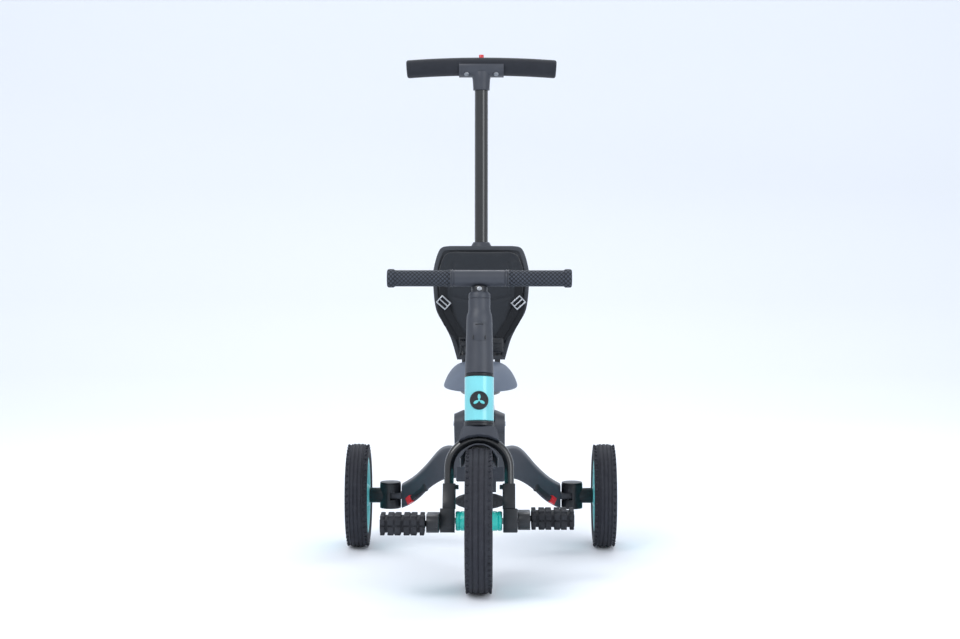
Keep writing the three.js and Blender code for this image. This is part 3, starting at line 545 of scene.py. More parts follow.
def tubePiece(name, points, radius, sides=40):
    # a filled ring is extruded along the points, and each ring is turned square to the path
    points = [Vector(point) for point in points]
    ahead = (points[1] - points[0]).normalized()
    bpy.ops.object.select_all(action="DESELECT")
    bpy.ops.mesh.primitive_circle_add(vertices=sides, radius=radius * mm, fill_type="NGON")
    piece = bpy.context.object
    piece.name = piece.data.name = name
    piece.matrix_world = bench(points[0] * mm, ahead, (0, 1, 0))
    bpy.ops.object.transform_apply(location=True, rotation=True, scale=True)
    bpy.ops.object.mode_set(mode="EDIT")
    bpy.ops.mesh.select_all(action="SELECT")
    for index in range(1, len(points)):
        before, here = points[index - 1], points[index]
        following = points[min(index + 1, len(points) - 1)]
        onward = (following - here).normalized() if following != here else Vector()
        facing = ((here - before).normalized() + onward).normalized()
        bpy.ops.mesh.extrude_region_move(TRANSFORM_OT_translate={"value": (here - before) * mm})
        axis = ahead.cross(facing)
        if axis.length > 1e-6:
            turn = Matrix.Rotation(math.asin(min(axis.length, 1)), 4, axis)
            bpy.ops.object.mode_set(mode="OBJECT")
            for vertex in piece.data.vertices:
                if vertex.select:
                    vertex.co = here * mm + (turn @ (vertex.co - here * mm))
            bpy.ops.object.mode_set(mode="EDIT")
        ahead = facing
    bpy.ops.mesh.select_all(action="SELECT")
    bpy.ops.mesh.normals_make_consistent(inside=False)
    bpy.ops.object.mode_set(mode="OBJECT")
    return piece


def alongCurve(ends, t):
    # a Bezier curve through two or more end points, each given as (across, height)
    last = len(ends) - 1
    weights = [math.comb(last, k) * (1 - t) ** (last - k) * t ** k for k in range(last + 1)]
    return tuple(sum(w * end[i] for w, end in zip(weights, ends)) for i in (0, 1))


def setDown(piece, place):
    only(piece)
    piece.matrix_world = place @ piece.matrix_world
    bpy.ops.object.transform_apply(location=True, rotation=True, scale=True)
    return piece


def soften(piece, bevel=0.0, segments=2, levels=0, angle=32):
    only(piece)
    if bevel:
        edge = piece.modifiers.new("edgeRound", "BEVEL")
        edge.width = bevel * mm
        edge.segments = segments
        edge.limit_method = "ANGLE"
        edge.angle_limit = math.radians(angle)
        edge.use_clamp_overlap = True
        bpy.ops.object.modifier_apply(modifier=edge.name)
    if levels:
        smooth = piece.modifiers.new("smooth", "SUBSURF")
        smooth.levels = smooth.render_levels = levels
        bpy.ops.object.modifier_apply(modifier=smooth.name)
    bpy.ops.object.shade_smooth_by_angle(angle=math.radians(angle))
    return piece


def fitOut(piece, finish, like=None, replaced=(), body=None):
    # the piece rides with the CAD node that it is like, and hides the nodes that it stands for
    paint(piece, finish)
    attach(piece, body or bodyOf[like])
    if replaced:
        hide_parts(*replaced)
    return piece


def refined(node, bevel=0.8, angle=34, finish=None):
    # a copy of a CAD node, merged, its flats cleaned and its edges rounded
    only(nodes[node])
    bpy.ops.object.duplicate()
    piece = bpy.context.object
    bpy.ops.object.parent_clear(type="CLEAR_KEEP_TRANSFORM")
    for key in list(piece.keys()):
        del piece[key]
    piece.name = piece.data.name = node + "Shell"
    bpy.ops.object.mode_set(mode="EDIT")
    bpy.ops.mesh.select_all(action="SELECT")
    bpy.ops.mesh.remove_doubles(threshold=1e-5)
    bpy.ops.mesh.dissolve_limited(angle_limit=math.radians(1))
    bpy.ops.object.mode_set(mode="OBJECT")
    soften(piece, bevel, 2, 0, angle)
    return fitOut(piece, finish or finishes[slotOf[node]], node, [node])


# every plain CAD piece that keeps its shape gets its edges rounded

roundedEdges = {
    "head_bracket": 1.6, "crown_cover": 1.2, "mudguard": 0.5,
    "left_fork_cover": 1.4, "right_fork_cover": 1.4, "left_axle_cap": 1.6, "right_axle_cap": 1.6,
    "left_crank": 1.8, "right_crank": 1.8, "left_wheel_carrier": 0.9, "right_wheel_carrier": 0.9,
    "left_pivot_pin": 0.7, "right_pivot_pin": 0.7, "saddle_base": 1.0,
    "footrest_pin": 0.5, "frame_bolt": 0.8, "seat_hinge_pin": 0.5, "bar_screw": 0.6, "t_clamp": 0.9, "handle_button": 0.9,
}
for node, bevel in roundedEdges.items():
    refined(node, bevel)
print("edges rounded")

# wheels

wheelShapes = {
    "front": {
        "treadGroove": 1.6, "grooves": (-9.5, 0.0, 9.5), "lugs": 54, "lugSize": (7.0, 8.4, 1.5),
        "hubRing": 24, "rimHalf": 15.8, "bore": 17.2,
    },
    "rear": {
        "treadGroove": 1.4, "grooves": (-10.5, -3.6, 3.6, 10.5), "lugs": 46, "lugSize": (5.6, 7.4, 1.3),
        "hubRing": 17, "rimHalf": 17.5, "bore": 5.8,
    },
}


def tyrePiece(node, kind, place):
    shape = wheelShapes[kind]
    low, high = measured(node, place)
    radius = high.x
    half = high.z
    bead = radius * 0.742
    deep = shape["treadGroove"]
    crown = [(radius - 3.4, -half * 0.72), (radius - 1.1, -half * 0.6)]
    for middle in shape["grooves"]:
        drop = 0.9 * (middle / half) ** 2
        crown += [(radius - drop, middle - 1.3), (radius - deep - drop, middle - 0.8),
                  (radius - deep - drop, middle + 0.8), (radius - drop, middle + 1.3)]
    crown += [(radius - 1.1, half * 0.6), (radius - 3.4, half * 0.72)]
    flank = [(bead + 0.4, -half * 0.62), (bead + 0.8, -half * 0.84), (bead + 2.6, -half * 0.88),
             (bead + 4.2, -half * 0.87), (bead + 7, -half * 0.96), (radius - 12, -half),
             (radius - 8, -half * 0.97), (radius - 5.6, -half * 0.88)]
    other = [(r, -x) for r, x in reversed(flank)]
    profile = flank + crown + other
    tyre = soften(turnedShell(node + "Carcass", profile, 96), 0.5, 2, 0, 38)
    lugs = []
    length, width, height = shape["lugSize"]
    for side in (-1, 1):
        block = roundedBlock("lug", (height * 2, length * 0.62, width),
                             (radius - 3.5, 0, side * (half * 0.78)), 0.5, (0, side * math.radians(34), 0), 1)
        bpy.ops.object.mode_set(mode="EDIT")
        bpy.ops.mesh.select_all(action="SELECT")
        bpy.ops.mesh.spin(
            steps=shape["lugs"], dupli=True, angle=2 * math.pi, center=(0, 0, 0), axis=(0, 0, 1))
        bpy.ops.object.mode_set(mode="OBJECT")
        lugs.append(soften(block, 0, 1, 0, 32))
    return fitOut(setDown(joined(node + "Tyre", [tyre, *lugs]), place), finishes["tyre_rubber"], node, [node])


def rimPiece(node, kind, place):
    shape = wheelShapes[kind]
    low, high = measured(node, place)
    edge = high.x
    half, hub, bore = shape["rimHalf"], shape["hubRing"], shape["bore"]
    boss = high.z if kind == "rear" else half
    inner = -boss if kind == "front" else low.z
    face = [(hub, boss), (hub + 3, boss - 3), (hub + 6, half * 0.42), (edge * 0.5, half * 0.26),
            (edge * 0.56, half * 0.4), (edge * 0.6, half * 0.3), (edge - 14, half * 0.5),
            (edge - 8.5, half * 0.86), (edge - 6, half * 0.98), (edge, half), (edge, 0)]
    backFace = [(r, -h) for r, h in reversed(face[:-1])]
    backFace[-1] = (hub, inner)
    if kind == "rear":
        cap = [(0, boss - 1.4), (hub * 0.5, boss - 1.4), (hub * 0.56, boss)]
        profile = [*cap, *face, *backFace, (bore, inner), (bore, boss - 8), (0, boss - 8)]
        rim = turnedShell(node + "Shell", profile, 80, closed=False)
    else:
        rim = turnedShell(node + "Shell", [(bore, boss), *face, *backFace, (bore, inner)], 80)
    soften(rim, 0.7, 2, 0, 30)
    return fitOut(setDown(rim, place), finishes["pale_blue_plastic"], node, [node])


def wheelBench(joint, outward=1):
    return bench(joints[joint]["pos_m"], (outward, 0, 0), (0, 1, 0))


wheelPlaces = {
    "front": wheelBench("front_wheel_spin"),
    "left": wheelBench("left_rear_wheel_spin", -1),
    "right": wheelBench("right_rear_wheel_spin"),
}
tyrePiece("front_tyre", "front", wheelPlaces["front"])
rimPiece("front_rim", "front", wheelPlaces["front"])
for side in ("left", "right"):
    tyrePiece(side + "_rear_tyre", "rear", wheelPlaces[side])
    rimPiece(side + "_rear_rim", "rear", wheelPlaces[side])


def hubPiece():
    low, high = measured("front_hub", wheelPlaces["front"])
    radius, half, bore = high.x, high.z, 5.4
    side = [(radius, half - 9), (radius - 0.8, half - 8.2), (radius - 0.8, half - 6.8), (radius, half - 6),
            (radius, half - 1.6), (radius - 1.6, half), (bore, half)]
    profile = [(r, -h) for r, h in reversed(side)] + side
    hub = soften(turnedShell("frontHubShell", profile, 64), 0.3, 2, 0, 40)
    return fitOut(setDown(hub, wheelPlaces["front"]), finishes["green_plastic"], "front_hub", ["front_hub"])


hubPiece()
print("wheels made")

# head tube, rings and badge


headShape = {"radius": 24.5, "bore": 21.5, "lowerRing": 8, "upperRing": 4.8}


def headPieces():
    low, high = measured("head_tube", steerBench)
    radius, bore = headShape["radius"], headShape["bore"]
    body = [(bore, low.z), (radius - 1.0, low.z), (radius, low.z + 1.0), (radius, high.z - 1.0),
            (radius - 1.0, high.z), (bore, high.z)]
    tube = soften(turnedShell("headTubeShell", body, 96), 0, 1, 0, 30)
    fitOut(setDown(tube, steerBench), finishes["turquoise_paint"], "head_tube", ["head_tube"])
    for node in ("lower_headset_ring", "upper_headset_ring"):
        low, high = measured(node, steerBench)
        wide = high.x
        foot, crest = low.z, low.z + headShape["lowerRing"]
        if node == "upper_headset_ring":
            foot, crest = high.z - headShape["upperRing"], high.z
        seam = (foot + crest) / 2
        ring = [(12, foot), (wide - 0.8, foot), (wide, foot + 0.8), (wide, seam - 0.5), (wide - 0.5, seam),
                (wide, seam + 0.5), (wide, crest - 0.8), (wide - 0.8, crest), (12, crest)]
        piece = soften(turnedShell(node + "Shell", ring, 80), 0, 1, 0, 30)
        fitOut(setDown(piece, steerBench), finishes["black_plastic"], node, [node])


badgeShape = {"radius": 15.6, "ring": 12.6, "stand": 2.2}


def badgePiece():
    # a plain medallion: a raised rim and three petals round a dot
    low, high = measured("badge", steerBench)
    middle = (low.z + high.z) / 2
    face = bench(steerBench @ (Vector((0, -24.6, middle)) * mm), steerBench.to_3x3() @ Vector((0, -1, 0)))
    r, ring, stand = badgeShape["radius"], badgeShape["ring"], badgeShape["stand"]
    rim = [(0, -1.5), (r, -7.0), (r, 0.6), (r - 1.2, stand), (ring + 0.9, stand), (ring, 0.9), (0, 1.3)]
    disc = soften(turnedShell("badgeDisc", rim, 64, False), 0.2, 2, 0, 30)
    petals = []
    for turn in range(3):
        angle = turn * 2 * math.pi / 3 + math.pi / 2
        bpy.ops.object.select_all(action="DESELECT")
        bpy.ops.mesh.primitive_uv_sphere_add(segments=24, ring_count=12, radius=1)
        petal = bpy.context.object
        petal.scale = Vector((4.6, 2.5, 0.9)) * mm
        petal.rotation_euler = (0, 0, angle)
        petal.location = Vector((math.cos(angle) * 6, math.sin(angle) * 6, 1.2)) * mm
        bpy.ops.object.transform_apply(location=True, rotation=True, scale=True)
        petals.append(petal)
    dot = turnedShell("badgeDot", [(0, 0.8), (2.0, 0.8), (1.7, 2.0), (0, 2.3)], 24, False)
    fitOut(setDown(disc, face), finishes["black_plastic"], "badge", ["badge"])
    fitOut(setDown(joined("badgeMark", [*petals, dot]), face), finishes["pale_blue_plastic"], "badge")


headPieces()
badgePiece()
print("head made")

# fork

forkShape = {"halfWidth": 50, "tube": 8, "legTop": 88, "crest": 136, "pull": 0.56, "samples": 14}


def forkPiece():
    low, high = measured("fork", steerBench)
    wide, top, crest, pull = (forkShape[key] for key in ("halfWidth", "legTop", "crest", "pull"))
    points = [(-wide, low.z + 0.2)]
    ends = ((-wide, top), (-wide, top + (crest - top) * pull), (-wide * pull, crest), (0, crest))
    count = forkShape["samples"]
    points += [alongCurve(ends, step / count) for step in range(count + 1)]
    points += [(-x, z) for x, z in reversed(points[:-1])]
    return tubePiece("forkTube", [(x, 0, z) for x, z in points], forkShape["tube"] - 0.05)


fitOut(setDown(soften(forkPiece(), 0, 1, 0, 40), steerBench), finishes["black_steel"], "fork", ["fork"])
print("fork made")

# stem

stemShape = {"foot": 24.0, "waist": 21.7, "neck": 18.3, "seam": 0.915}


def stemPiece():
    low, high = measured("stem", steerBench)
    foot = low.z
    coverLow, coverHigh = measured("bar_cover", steerBench)
    tall = (coverLow.z + coverHigh.z) / 2 - 14.7 - 9 - foot  # cover radius and the gap below it
    top = foot + tall
    wide, waist, neck = stemShape["foot"], stemShape["waist"], stemShape["neck"]
    seam = foot + tall * stemShape["seam"]
    profile = [(12, foot), (wide - 1, foot), (wide, foot + 1), (wide - 1.0, foot + tall * 0.25),
               (waist + 0.4, foot + tall * 0.5), (waist, foot + tall * 0.66),
               (waist - 0.5, foot + tall * 0.705), (waist - 1.7, foot + tall * 0.735),
               (neck + 0.5, foot + tall * 0.765), (neck, foot + tall * 0.80),
               (neck, seam - 0.9), (neck - 0.8, seam - 0.5), (neck - 0.8, seam + 0.5), (neck, seam + 0.9),
               (neck, top - 5), (neck - 0.6, top - 2.6), (neck - 2.0, top - 0.8), (neck - 4.4, top),
               (12, top)]
    shell = soften(turnedShell("stemShell", profile, 80), 0, 1, 0, 30)
    collar = [(8, top - 3), (13.4, top - 3), (13.4, top + 9.4), (8, top + 9.4)]
    neckShell = turnedShell("stemNeck", collar, 48)
    soften(neckShell, 0.4, 2, 0, 30)
    fitOut(setDown(shell, steerBench), finishes["dark_grey_plastic"], "stem", ["stem"])
    fitOut(setDown(neckShell, steerBench), finishes["black_plastic"], "stem_button", body=bodyOf["stem"])


stemPiece()
print("stem made")

# handlebar cover and grips

gripShape = {"radius": 13.7, "bore": 11.4, "collar": 14.6, "flange": 15.6, "flangeLong": 11.5}


def barCoverPiece():
    low, high = measured("bar_cover", barBench)
    half, wide = high.z, high.x
    side = [(wide - 0.7, 0), (wide - 0.7, half - 7.6), (wide - 1.4, half - 7.0), (wide - 1.4, half - 6.0),
            (wide - 0.3, half - 5.2), (wide, half - 4.4), (wide, half - 3.2), (wide - 0.9, half - 2.7),
            (wide - 0.9, half - 2.0), (wide, half - 1.6), (wide - 0.3, half - 0.3), (gripShape["bore"], half)]
    profile = side + [(r, -h) for r, h in reversed(side)]
    cover = soften(turnedShell("barCoverShell", profile, 72), 0, 1, 0, 30)
    fitOut(setDown(cover, barBench), finishes["dark_grey_plastic"], "bar_cover", ["bar_cover"])


def gripPiece(side, outward):
    node = side + "_grip"
    place = bench(barCentre, (outward, 0, 0), (0, 1, 0))
    low, high = measured(node, place)
    start, end = low.z, high.z
    r, collar, flange, long = (gripShape[key] for key in ("radius", "collar", "flange", "flangeLong"))
    bore = gripShape["bore"]
    profile = [(0, end - 1.2), (5.2, end - 1.2), (6, end), (flange - 3, end), (flange - 0.8, end - 1.0),
               (flange, end - 3.2), (flange, end - long + 1), (flange - 0.2, end - long),
               (r + 0.7, end - long - 0.6), (r + 0.7, end - long - 1.6), (r, end - long - 2.4),
               (r, start + 5.9), (collar, start + 5.2), (collar, start + 3.6), (r, start + 2.9),
               (collar, start + 2.2), (collar, start + 0.5), (collar - 0.5, start), (bore, start),
               (bore, end - 6), (0, end - 6)]
    grip = soften(turnedShell(node + "Shell", profile, 64, False), 0, 1, 0, 32)
    fitOut(setDown(grip, place), finishes["grip_rubber"], node, [node])


barCoverPiece()
gripPiece("left", -1)
gripPiece("right", 1)
print("bar and grips made")

# backrest, pad and harness


def smoothLine(points, steps=6):
    # a Catmull-Rom curve through the points
    points = [Vector(point) for point in points]
    last = len(points) - 1
    line = []
    for index in range(last):
        a, b, c, d = (points[min(max(index + k, 0), last)] for k in (-1, 0, 1, 2))
        for step in range(steps):
            t = step / steps
            line.append(0.5 * (2 * b + (c - a) * t + (2 * a - 5 * b + 4 * c - d) * t * t
                               + (3 * b - a - 3 * c + d) * t ** 3))
    line.append(points[-1])
    return line


backShape = {
    "half": 88, "top": 200, "foot": -8, "border": 7.5, "recess": 5, "rear": 9, "front": -9,
    "padInset": 9.5, "padFoot": 20, "padFront": -14.5,
}


def backLine(inset, foot, depth):
    half, top = backShape["half"], backShape["top"] - inset
    side = [(half * 0.5 - inset, foot), (half * 0.62 - inset, top * 0.14 + inset * 0.5),
            (half * 0.76 - inset, 54), (half * 0.94 - inset, 84), (half - inset, 130),
            (half * 0.985 - inset, 160), (half * 0.86 - inset, top - 6), (half * 0.66 - inset, top)]
    right = smoothLine([(x, depth, z) for x, z in side], 6)
    left = [Vector((-point.x, point.y, point.z)) for point in reversed(right)]
    return right + left


def backShellPiece():
    rear, front = backShape["rear"], backShape["front"]
    shell = outlinePlate("backrestShell", backLine(0.4, backShape["foot"], rear), rear - front, (0, -1, 0))
    only(shell)
    bpy.ops.object.mode_set(mode="EDIT")
    bpy.ops.mesh.select_mode(type="FACE")
    bpy.ops.mesh.select_all(action="DESELECT")
    bpy.ops.object.mode_set(mode="OBJECT")
    for face in shell.data.polygons:
        if len(face.vertices) > 20 and face.center.y < 0:
            face.select = True
    bpy.ops.object.mode_set(mode="EDIT")
    bpy.ops.mesh.inset(thickness=backShape["border"] * mm)
    bpy.ops.mesh.extrude_region_move(
        TRANSFORM_OT_translate={"value": (0, backShape["recess"] * mm, 0)})
    bpy.ops.mesh.select_mode(type="VERT")
    bpy.ops.object.mode_set(mode="OBJECT")
    shell = soften(shell, 2.2, 3, 0, 40)
    ears = []
    for x in (-30, 30):
        ear = roundedBlock("ear", (11, 14, 14), (x, 0, 1), 2.5)
        ears.append(soften(ear, 0, 1, 0, 40))
    shell = joined("backrestShell", [shell, *ears])
    fitOut(setDown(shell, backBench), finishes["backPlastic"], "backrest_shell", ["backrest_shell"])


def settled(piece, cap, pressure=4.0, voxel=5.0):
    # the pad is inflated as cloth for twenty frames, and no point moves further than the cap
    only(piece)
    piece.data.remesh_voxel_size = voxel * mm
    bpy.ops.object.voxel_remesh()
    start = [vertex.co.copy() for vertex in piece.data.vertices]
    cloth = piece.modifiers.new("cloth", "CLOTH")
    cloth.settings.use_pressure = True
    cloth.settings.uniform_pressure_force = pressure
    cloth.settings.effector_weights.gravity = 0
    cloth.settings.quality = 5
    for frameNumber in range(1, 21):
        bpy.context.scene.frame_set(frameNumber)
    bpy.ops.object.modifier_apply(modifier=cloth.name)
    bpy.context.scene.frame_set(1)
    for vertex, home in zip(piece.data.vertices, start):
        moved = vertex.co - home
        if moved.length > cap * mm:
            vertex.co = home + moved.normalized() * cap * mm
    return piece


def padPiece():
    inset, foot = backShape["padInset"], backShape["padFoot"]
    low = backShape["front"] + backShape["recess"]
    thick = low - 0.6 - backShape["padFront"]
    blank = outlinePlate("backrestPadSkin", backLine(inset, foot, low - 0.6), thick, (0, -1, 0))
    pad = settled(soften(blank, 2.5, 3, 0, 40), 5, 3.0, 4.0)
    only(pad)
    smooth = pad.modifiers.new("smooth", "SUBSURF")
    smooth.levels = smooth.render_levels = 1
    bpy.ops.object.modifier_apply(modifier=smooth.name)
    sewn = (
        [Vector((x, z)) for x, z in ((-50, 24), (-58, 100), (-50, 168))],
        [Vector((x, z)) for x, z in ((50, 24), (58, 100), (50, 168))],
        [Vector((x, z)) for x, z in ((-56, 108), (0, 96), (56, 108))],
    )
    for vertex in pad.data.vertices:
        x, y, z = vertex.co / mm
        if y > backShape["padFront"] + thick * 0.6:
            continue
        near = min(distanceTo(Vector((x, z)), a, b) for line in sewn for a, b in zip(line, line[1:]))
        vertex.co.y += 2.2 * mm * math.exp(-(near / 2.6) ** 2)
    bpy.ops.object.shade_smooth()
    pad = setDown(pad, backBench)
    fitOut(pad, finishes["pad_fabric"], "backrest_pad", ["backrest_pad"])


def distanceTo(point, a, b):
    share = min(max((point - a).dot(b - a) / (b - a).length_squared, 0), 1)
    return (point - a.lerp(b, share)).length


def webbing(name, points, width):
    # a flat strap: a thin section is swept along the points, staying level across its width
    line = smoothLine(points, 6)
    thickness = harnessShape["thickness"]
    section = ((-1, -0.6), (-0.82, -1), (0, -0.7), (0.82, -1), (1, -0.6),
               (1, 0.6), (0.82, 1), (0, 1.1), (-0.82, 1), (-1, 0.6))
    rows = []
    for index, point in enumerate(line):
        ahead = (line[min(index + 1, len(line) - 1)] - line[max(index - 1, 0)]).normalized()
        wide = Vector((1, 0, 0))
        wide = (wide - ahead * wide.dot(ahead)).normalized()
        out = ahead.cross(wide)
        rows.append([point + wide * u * width / 2 + out * v * thickness / 2 for u, v in section])
    piece = rowSkin(name, rows)
    bpy.ops.object.shade_smooth_by_angle(angle=math.radians(50))
    return piece


harnessShape = {"width": 13, "thickness": 1.6, "sliderWidth": 20, "sliderHeight": 15, "buckleHeight": 26}


def sliderPiece(name, middle, turn):
    # a three-bar slider: an open frame with a cross bar and bright edges
    width, high = harnessShape["sliderWidth"], harnessShape["sliderHeight"]
    bars = []
    for place, size in (
        ((0, 0, high / 2), (width, 3.4, 2.6)),
        ((0, 0, -high / 2), (width, 3.4, 2.6)),
        ((0, 0, 0), (width, 2.6, 2.4)),
        ((width / 2, 0, 0), (2.4, 3.4, high + 2.6)),
        ((-width / 2, 0, 0), (2.4, 3.4, high + 2.6)),
    ):
        bars.append(roundedBlock("bar", size, place, 0.8, segments=3))
    slider = soften(joined(name, bars), 0, 1, 0, 40)
    slider.matrix_world = Matrix.Translation(Vector(middle) * mm) @ Matrix.Rotation(turn, 4, "Y")
    only(slider)
    bpy.ops.object.transform_apply(location=True, rotation=True, scale=True)
    return slider


def harnessPieces():
    padY = backShape["padFront"] - 3.6
    width = harnessShape["width"]
    for side, sign in (("left", -1), ("right", 1)):
        upper = [(sign * 66, padY + 5, 152), (sign * 67, padY + 0.4, 144), (sign * 69, padY - 2.2, 122),
                 (sign * 68, padY - 3.2, 100), (sign * 61, padY - 3.6, 80), (sign * 50, padY - 3.2, 60),
                 (sign * 39, padY - 3.6, 42), (sign * 32, padY - 5.6, 29)]
        lower = [(sign * 71, padY - 2.6, 108), (sign * 74, padY - 2.2, 88), (sign * 66, padY - 1.6, 64),
                 (sign * 52, padY - 1.4, 44), (sign * 38, padY - 2.4, 30)]
        slope = -sign * math.radians(42)
        strap = webbing(side + "StrapWeb", upper, width)
        loop = webbing(side + "StrapLoop", lower, width * 0.86)
        cloth = setDown(joined(side + "Harness", [strap, loop]), backBench)
        fitOut(cloth, finishes["strapWeb"], side + "_strap", [side + "_strap"])
        slider = sliderPiece(side + "Slider", (sign * 68, padY - 5.2, 96), slope)
        fitOut(setDown(slider, backBench), finishes["bare_steel"], side + "_strap")
        buckle = bucklePiece(side, sign, padY)
        fitOut(setDown(buckle, backBench), finishes["black_plastic"], side + "_buckle", [side + "_buckle"])


def bucklePiece(side, sign, padY):
    # each row is a block's name, size, place from the middle of the buckle, and bevel
    middle = Vector((sign * 30, padY - 5.4, 19))
    if side == "right":  # the socket half, with a press window on each flank
        blocks = (
            ("socket", (22, 8.4, harnessShape["buckleHeight"]), (0, 0, 0), 2.6),
            ("press", (3, 6, 11), (-11, 0, -1), 1.2),
            ("press", (3, 6, 11), (11, 0, -1), 1.2),
            ("bridge", (15, 2.2, 6), (0, -4.2, 5), 0.9),
            ("bridge", (15, 2.2, 2), (0, -4.2, -6), 0.7),
        )
    else:  # the prong half: a ladder bar over two prongs and a guide
        blocks = (
            ("ladder", (20, 7, 3), (0, 0, 12), 1.1),
            ("ladder", (20, 7, 3.4), (0, 0, 5), 1.1),
            ("rail", (3, 7, 11), (-8.8, 0, 8.4), 1.1),
            ("rail", (3, 7, 11), (8.8, 0, 8.4), 1.1),
            ("plate", (18, 6, 7), (0, 0, 1), 1.6),
            ("prong", (3.6, 5, 16), (-7, 0, -8), 1.4),
            ("prong", (3.6, 5, 16), (7, 0, -8), 1.4),
            ("guide", (3.6, 4, 13), (0, 0, -7), 1.3),
        )
    shell = [roundedBlock(name, size, middle + Vector(place), bevel, segments=3)
             for name, size, place, bevel in blocks]
    return soften(joined(side + "BuckleHalf", shell), 0, 1, 0, 40)


finishes["backPlastic"] = mouldedPlastic("backPlastic", tone(48, 52, 59), 0.46)
finishes["strapWeb"] = wovenCloth("strapWeb", tone(20, 23, 28), 0.0016, 0.15)
backShellPiece()
padPiece()
harnessPieces()
print("backrest made")

# saddle

saddleShape = {"length": 186, "halfWidth": 70, "rear": 184.5, "low": 307.3, "high": 353, "sides": 56}


def saddlePiece():
    low, high = saddleShape["low"], saddleShape["high"]
    middleY = saddleShape["rear"] - saddleShape["length"] / 2
    heights = ((0.05, 14), (0.0, 5), (0.02, 1.2), (0.09, 0), (0.2, 1.6), (0.36, 4.6), (0.54, 9), (0.7, 14.5),
               (0.84, 21), (0.93, 28), (0.98, 36), (1.0, 46))
    sides = saddleShape["sides"]
    rows = []
    for share, inset in heights:
        row = []
        for step in range(sides):
            angle = 2 * math.pi * step / sides
            ahead = (1 - math.sin(angle)) / 2
            half = saddleShape["halfWidth"] * (1.06 - 0.62 * ahead ** 2) - inset
            x = half * math.copysign(abs(math.cos(angle)) ** 0.78, math.cos(angle))
            y = middleY + (saddleShape["length"] / 2 - inset) * math.sin(angle)
            z = low + (high - low) * share
            arch = 3.0 * math.cos(angle) ** 2 * (1 - share) ** 2
            row.append((x, y, z + 2.4 * share * ahead - arch + 3.0 * (1 - share) ** 2))
        rows.append(row)
    piece = rowSkin("saddleSkin", rows)
    known = len(piece.data.vertices)
    bpy.ops.object.mode_set(mode="EDIT")
    bpy.ops.mesh.select_mode(type="FACE")
    bpy.ops.mesh.select_all(action="DESELECT")
    bpy.ops.mesh.select_face_by_sides(number=4, type="GREATER")  # the flat faces that close both ends
    bpy.ops.mesh.poke()
    bpy.ops.mesh.select_mode(type="VERT")
    bpy.ops.object.mode_set(mode="OBJECT")
    for vertex in piece.data.vertices[known:]:
        under = vertex.co.z < (low + high) / 2 * mm
        vertex.co = Vector((0, middleY + 10, low + 5 if under else high - 0.4)) * mm
    soften(piece, 0, 1, 2, 60)
    only(piece)
    bpy.ops.object.shade_smooth()
    fitOut(piece, finishes["saddle_plastic"], "saddle", ["saddle"])


saddlePiece()
print("saddle made")

# push handle, pole, posts and bars


def rodPiece(node, place, chamfer=0.6, finish=None, sides=48, hollow=0.0):
    low, high = measured(node, place)
    wide = high.x
    side = [(wide - chamfer, low.z), (wide, low.z + chamfer),
            (wide, high.z - chamfer), (wide - chamfer, high.z)]
    inner = wide - hollow if hollow else 0
    rod = turnedShell(node + "Rod", [(inner, low.z), *side, (inner, high.z)], sides, bool(hollow))
    return fitOut(setDown(soften(rod, 0, 1, 0, 35), place), finish or finishes[slotOf[node]], node, [node])


socketShape = {"bore": 12.9, "lowerRadius": 14.3, "step": 62}
handleShape = {"radius": 16.8, "rise": 6, "stations": 28, "screws": (-27, 27), "buttonStand": 5}


def socketPieces():
    low, high = measured("handle_socket", poleBench)
    wide = high.x
    bore, slim = socketShape["bore"], socketShape["lowerRadius"]
    step = low.z + socketShape["step"]
    profile = [(0, low.z), (slim, low.z), (slim, step), (wide - 0.4, step + 3), (wide, step + 4),
               (wide, high.z - 0.6), (wide - 0.6, high.z), (bore, high.z),
               (bore, low.z + 24), (0, low.z + 24)]
    socket = soften(turnedShell("handleSocketTube", profile, 64, False), 0, 1, 0, 35)
    fitOut(setDown(socket, poleBench), finishes["black_steel"], "handle_socket", ["handle_socket"])
    low, high = measured("socket_collar", poleBench)
    wide = high.x
    tall = high.z - low.z
    collar = [(bore, low.z), (wide - 0.8, low.z), (wide, low.z + 0.8), (wide, low.z + tall * 0.42),
              (wide - 0.5, low.z + tall * 0.5), (15.9, high.z - 2.2), (15.2, high.z - 0.6), (14.4, high.z),
              (bore, high.z)]
    shell = soften(turnedShell("socketCollarShell", collar, 64), 0, 1, 0, 35)
    catch = roundedBlock("collarCatch", (9, 5, 8), (0, -wide + 1.2, low.z + tall * 0.24), 1.6, segments=3)
    shell = joined("socketCollarShell", [shell, soften(catch, 0, 1, 0, 40)])
    fitOut(setDown(shell, poleBench), finishes["dark_grey_plastic"], "socket_collar", ["socket_collar"])


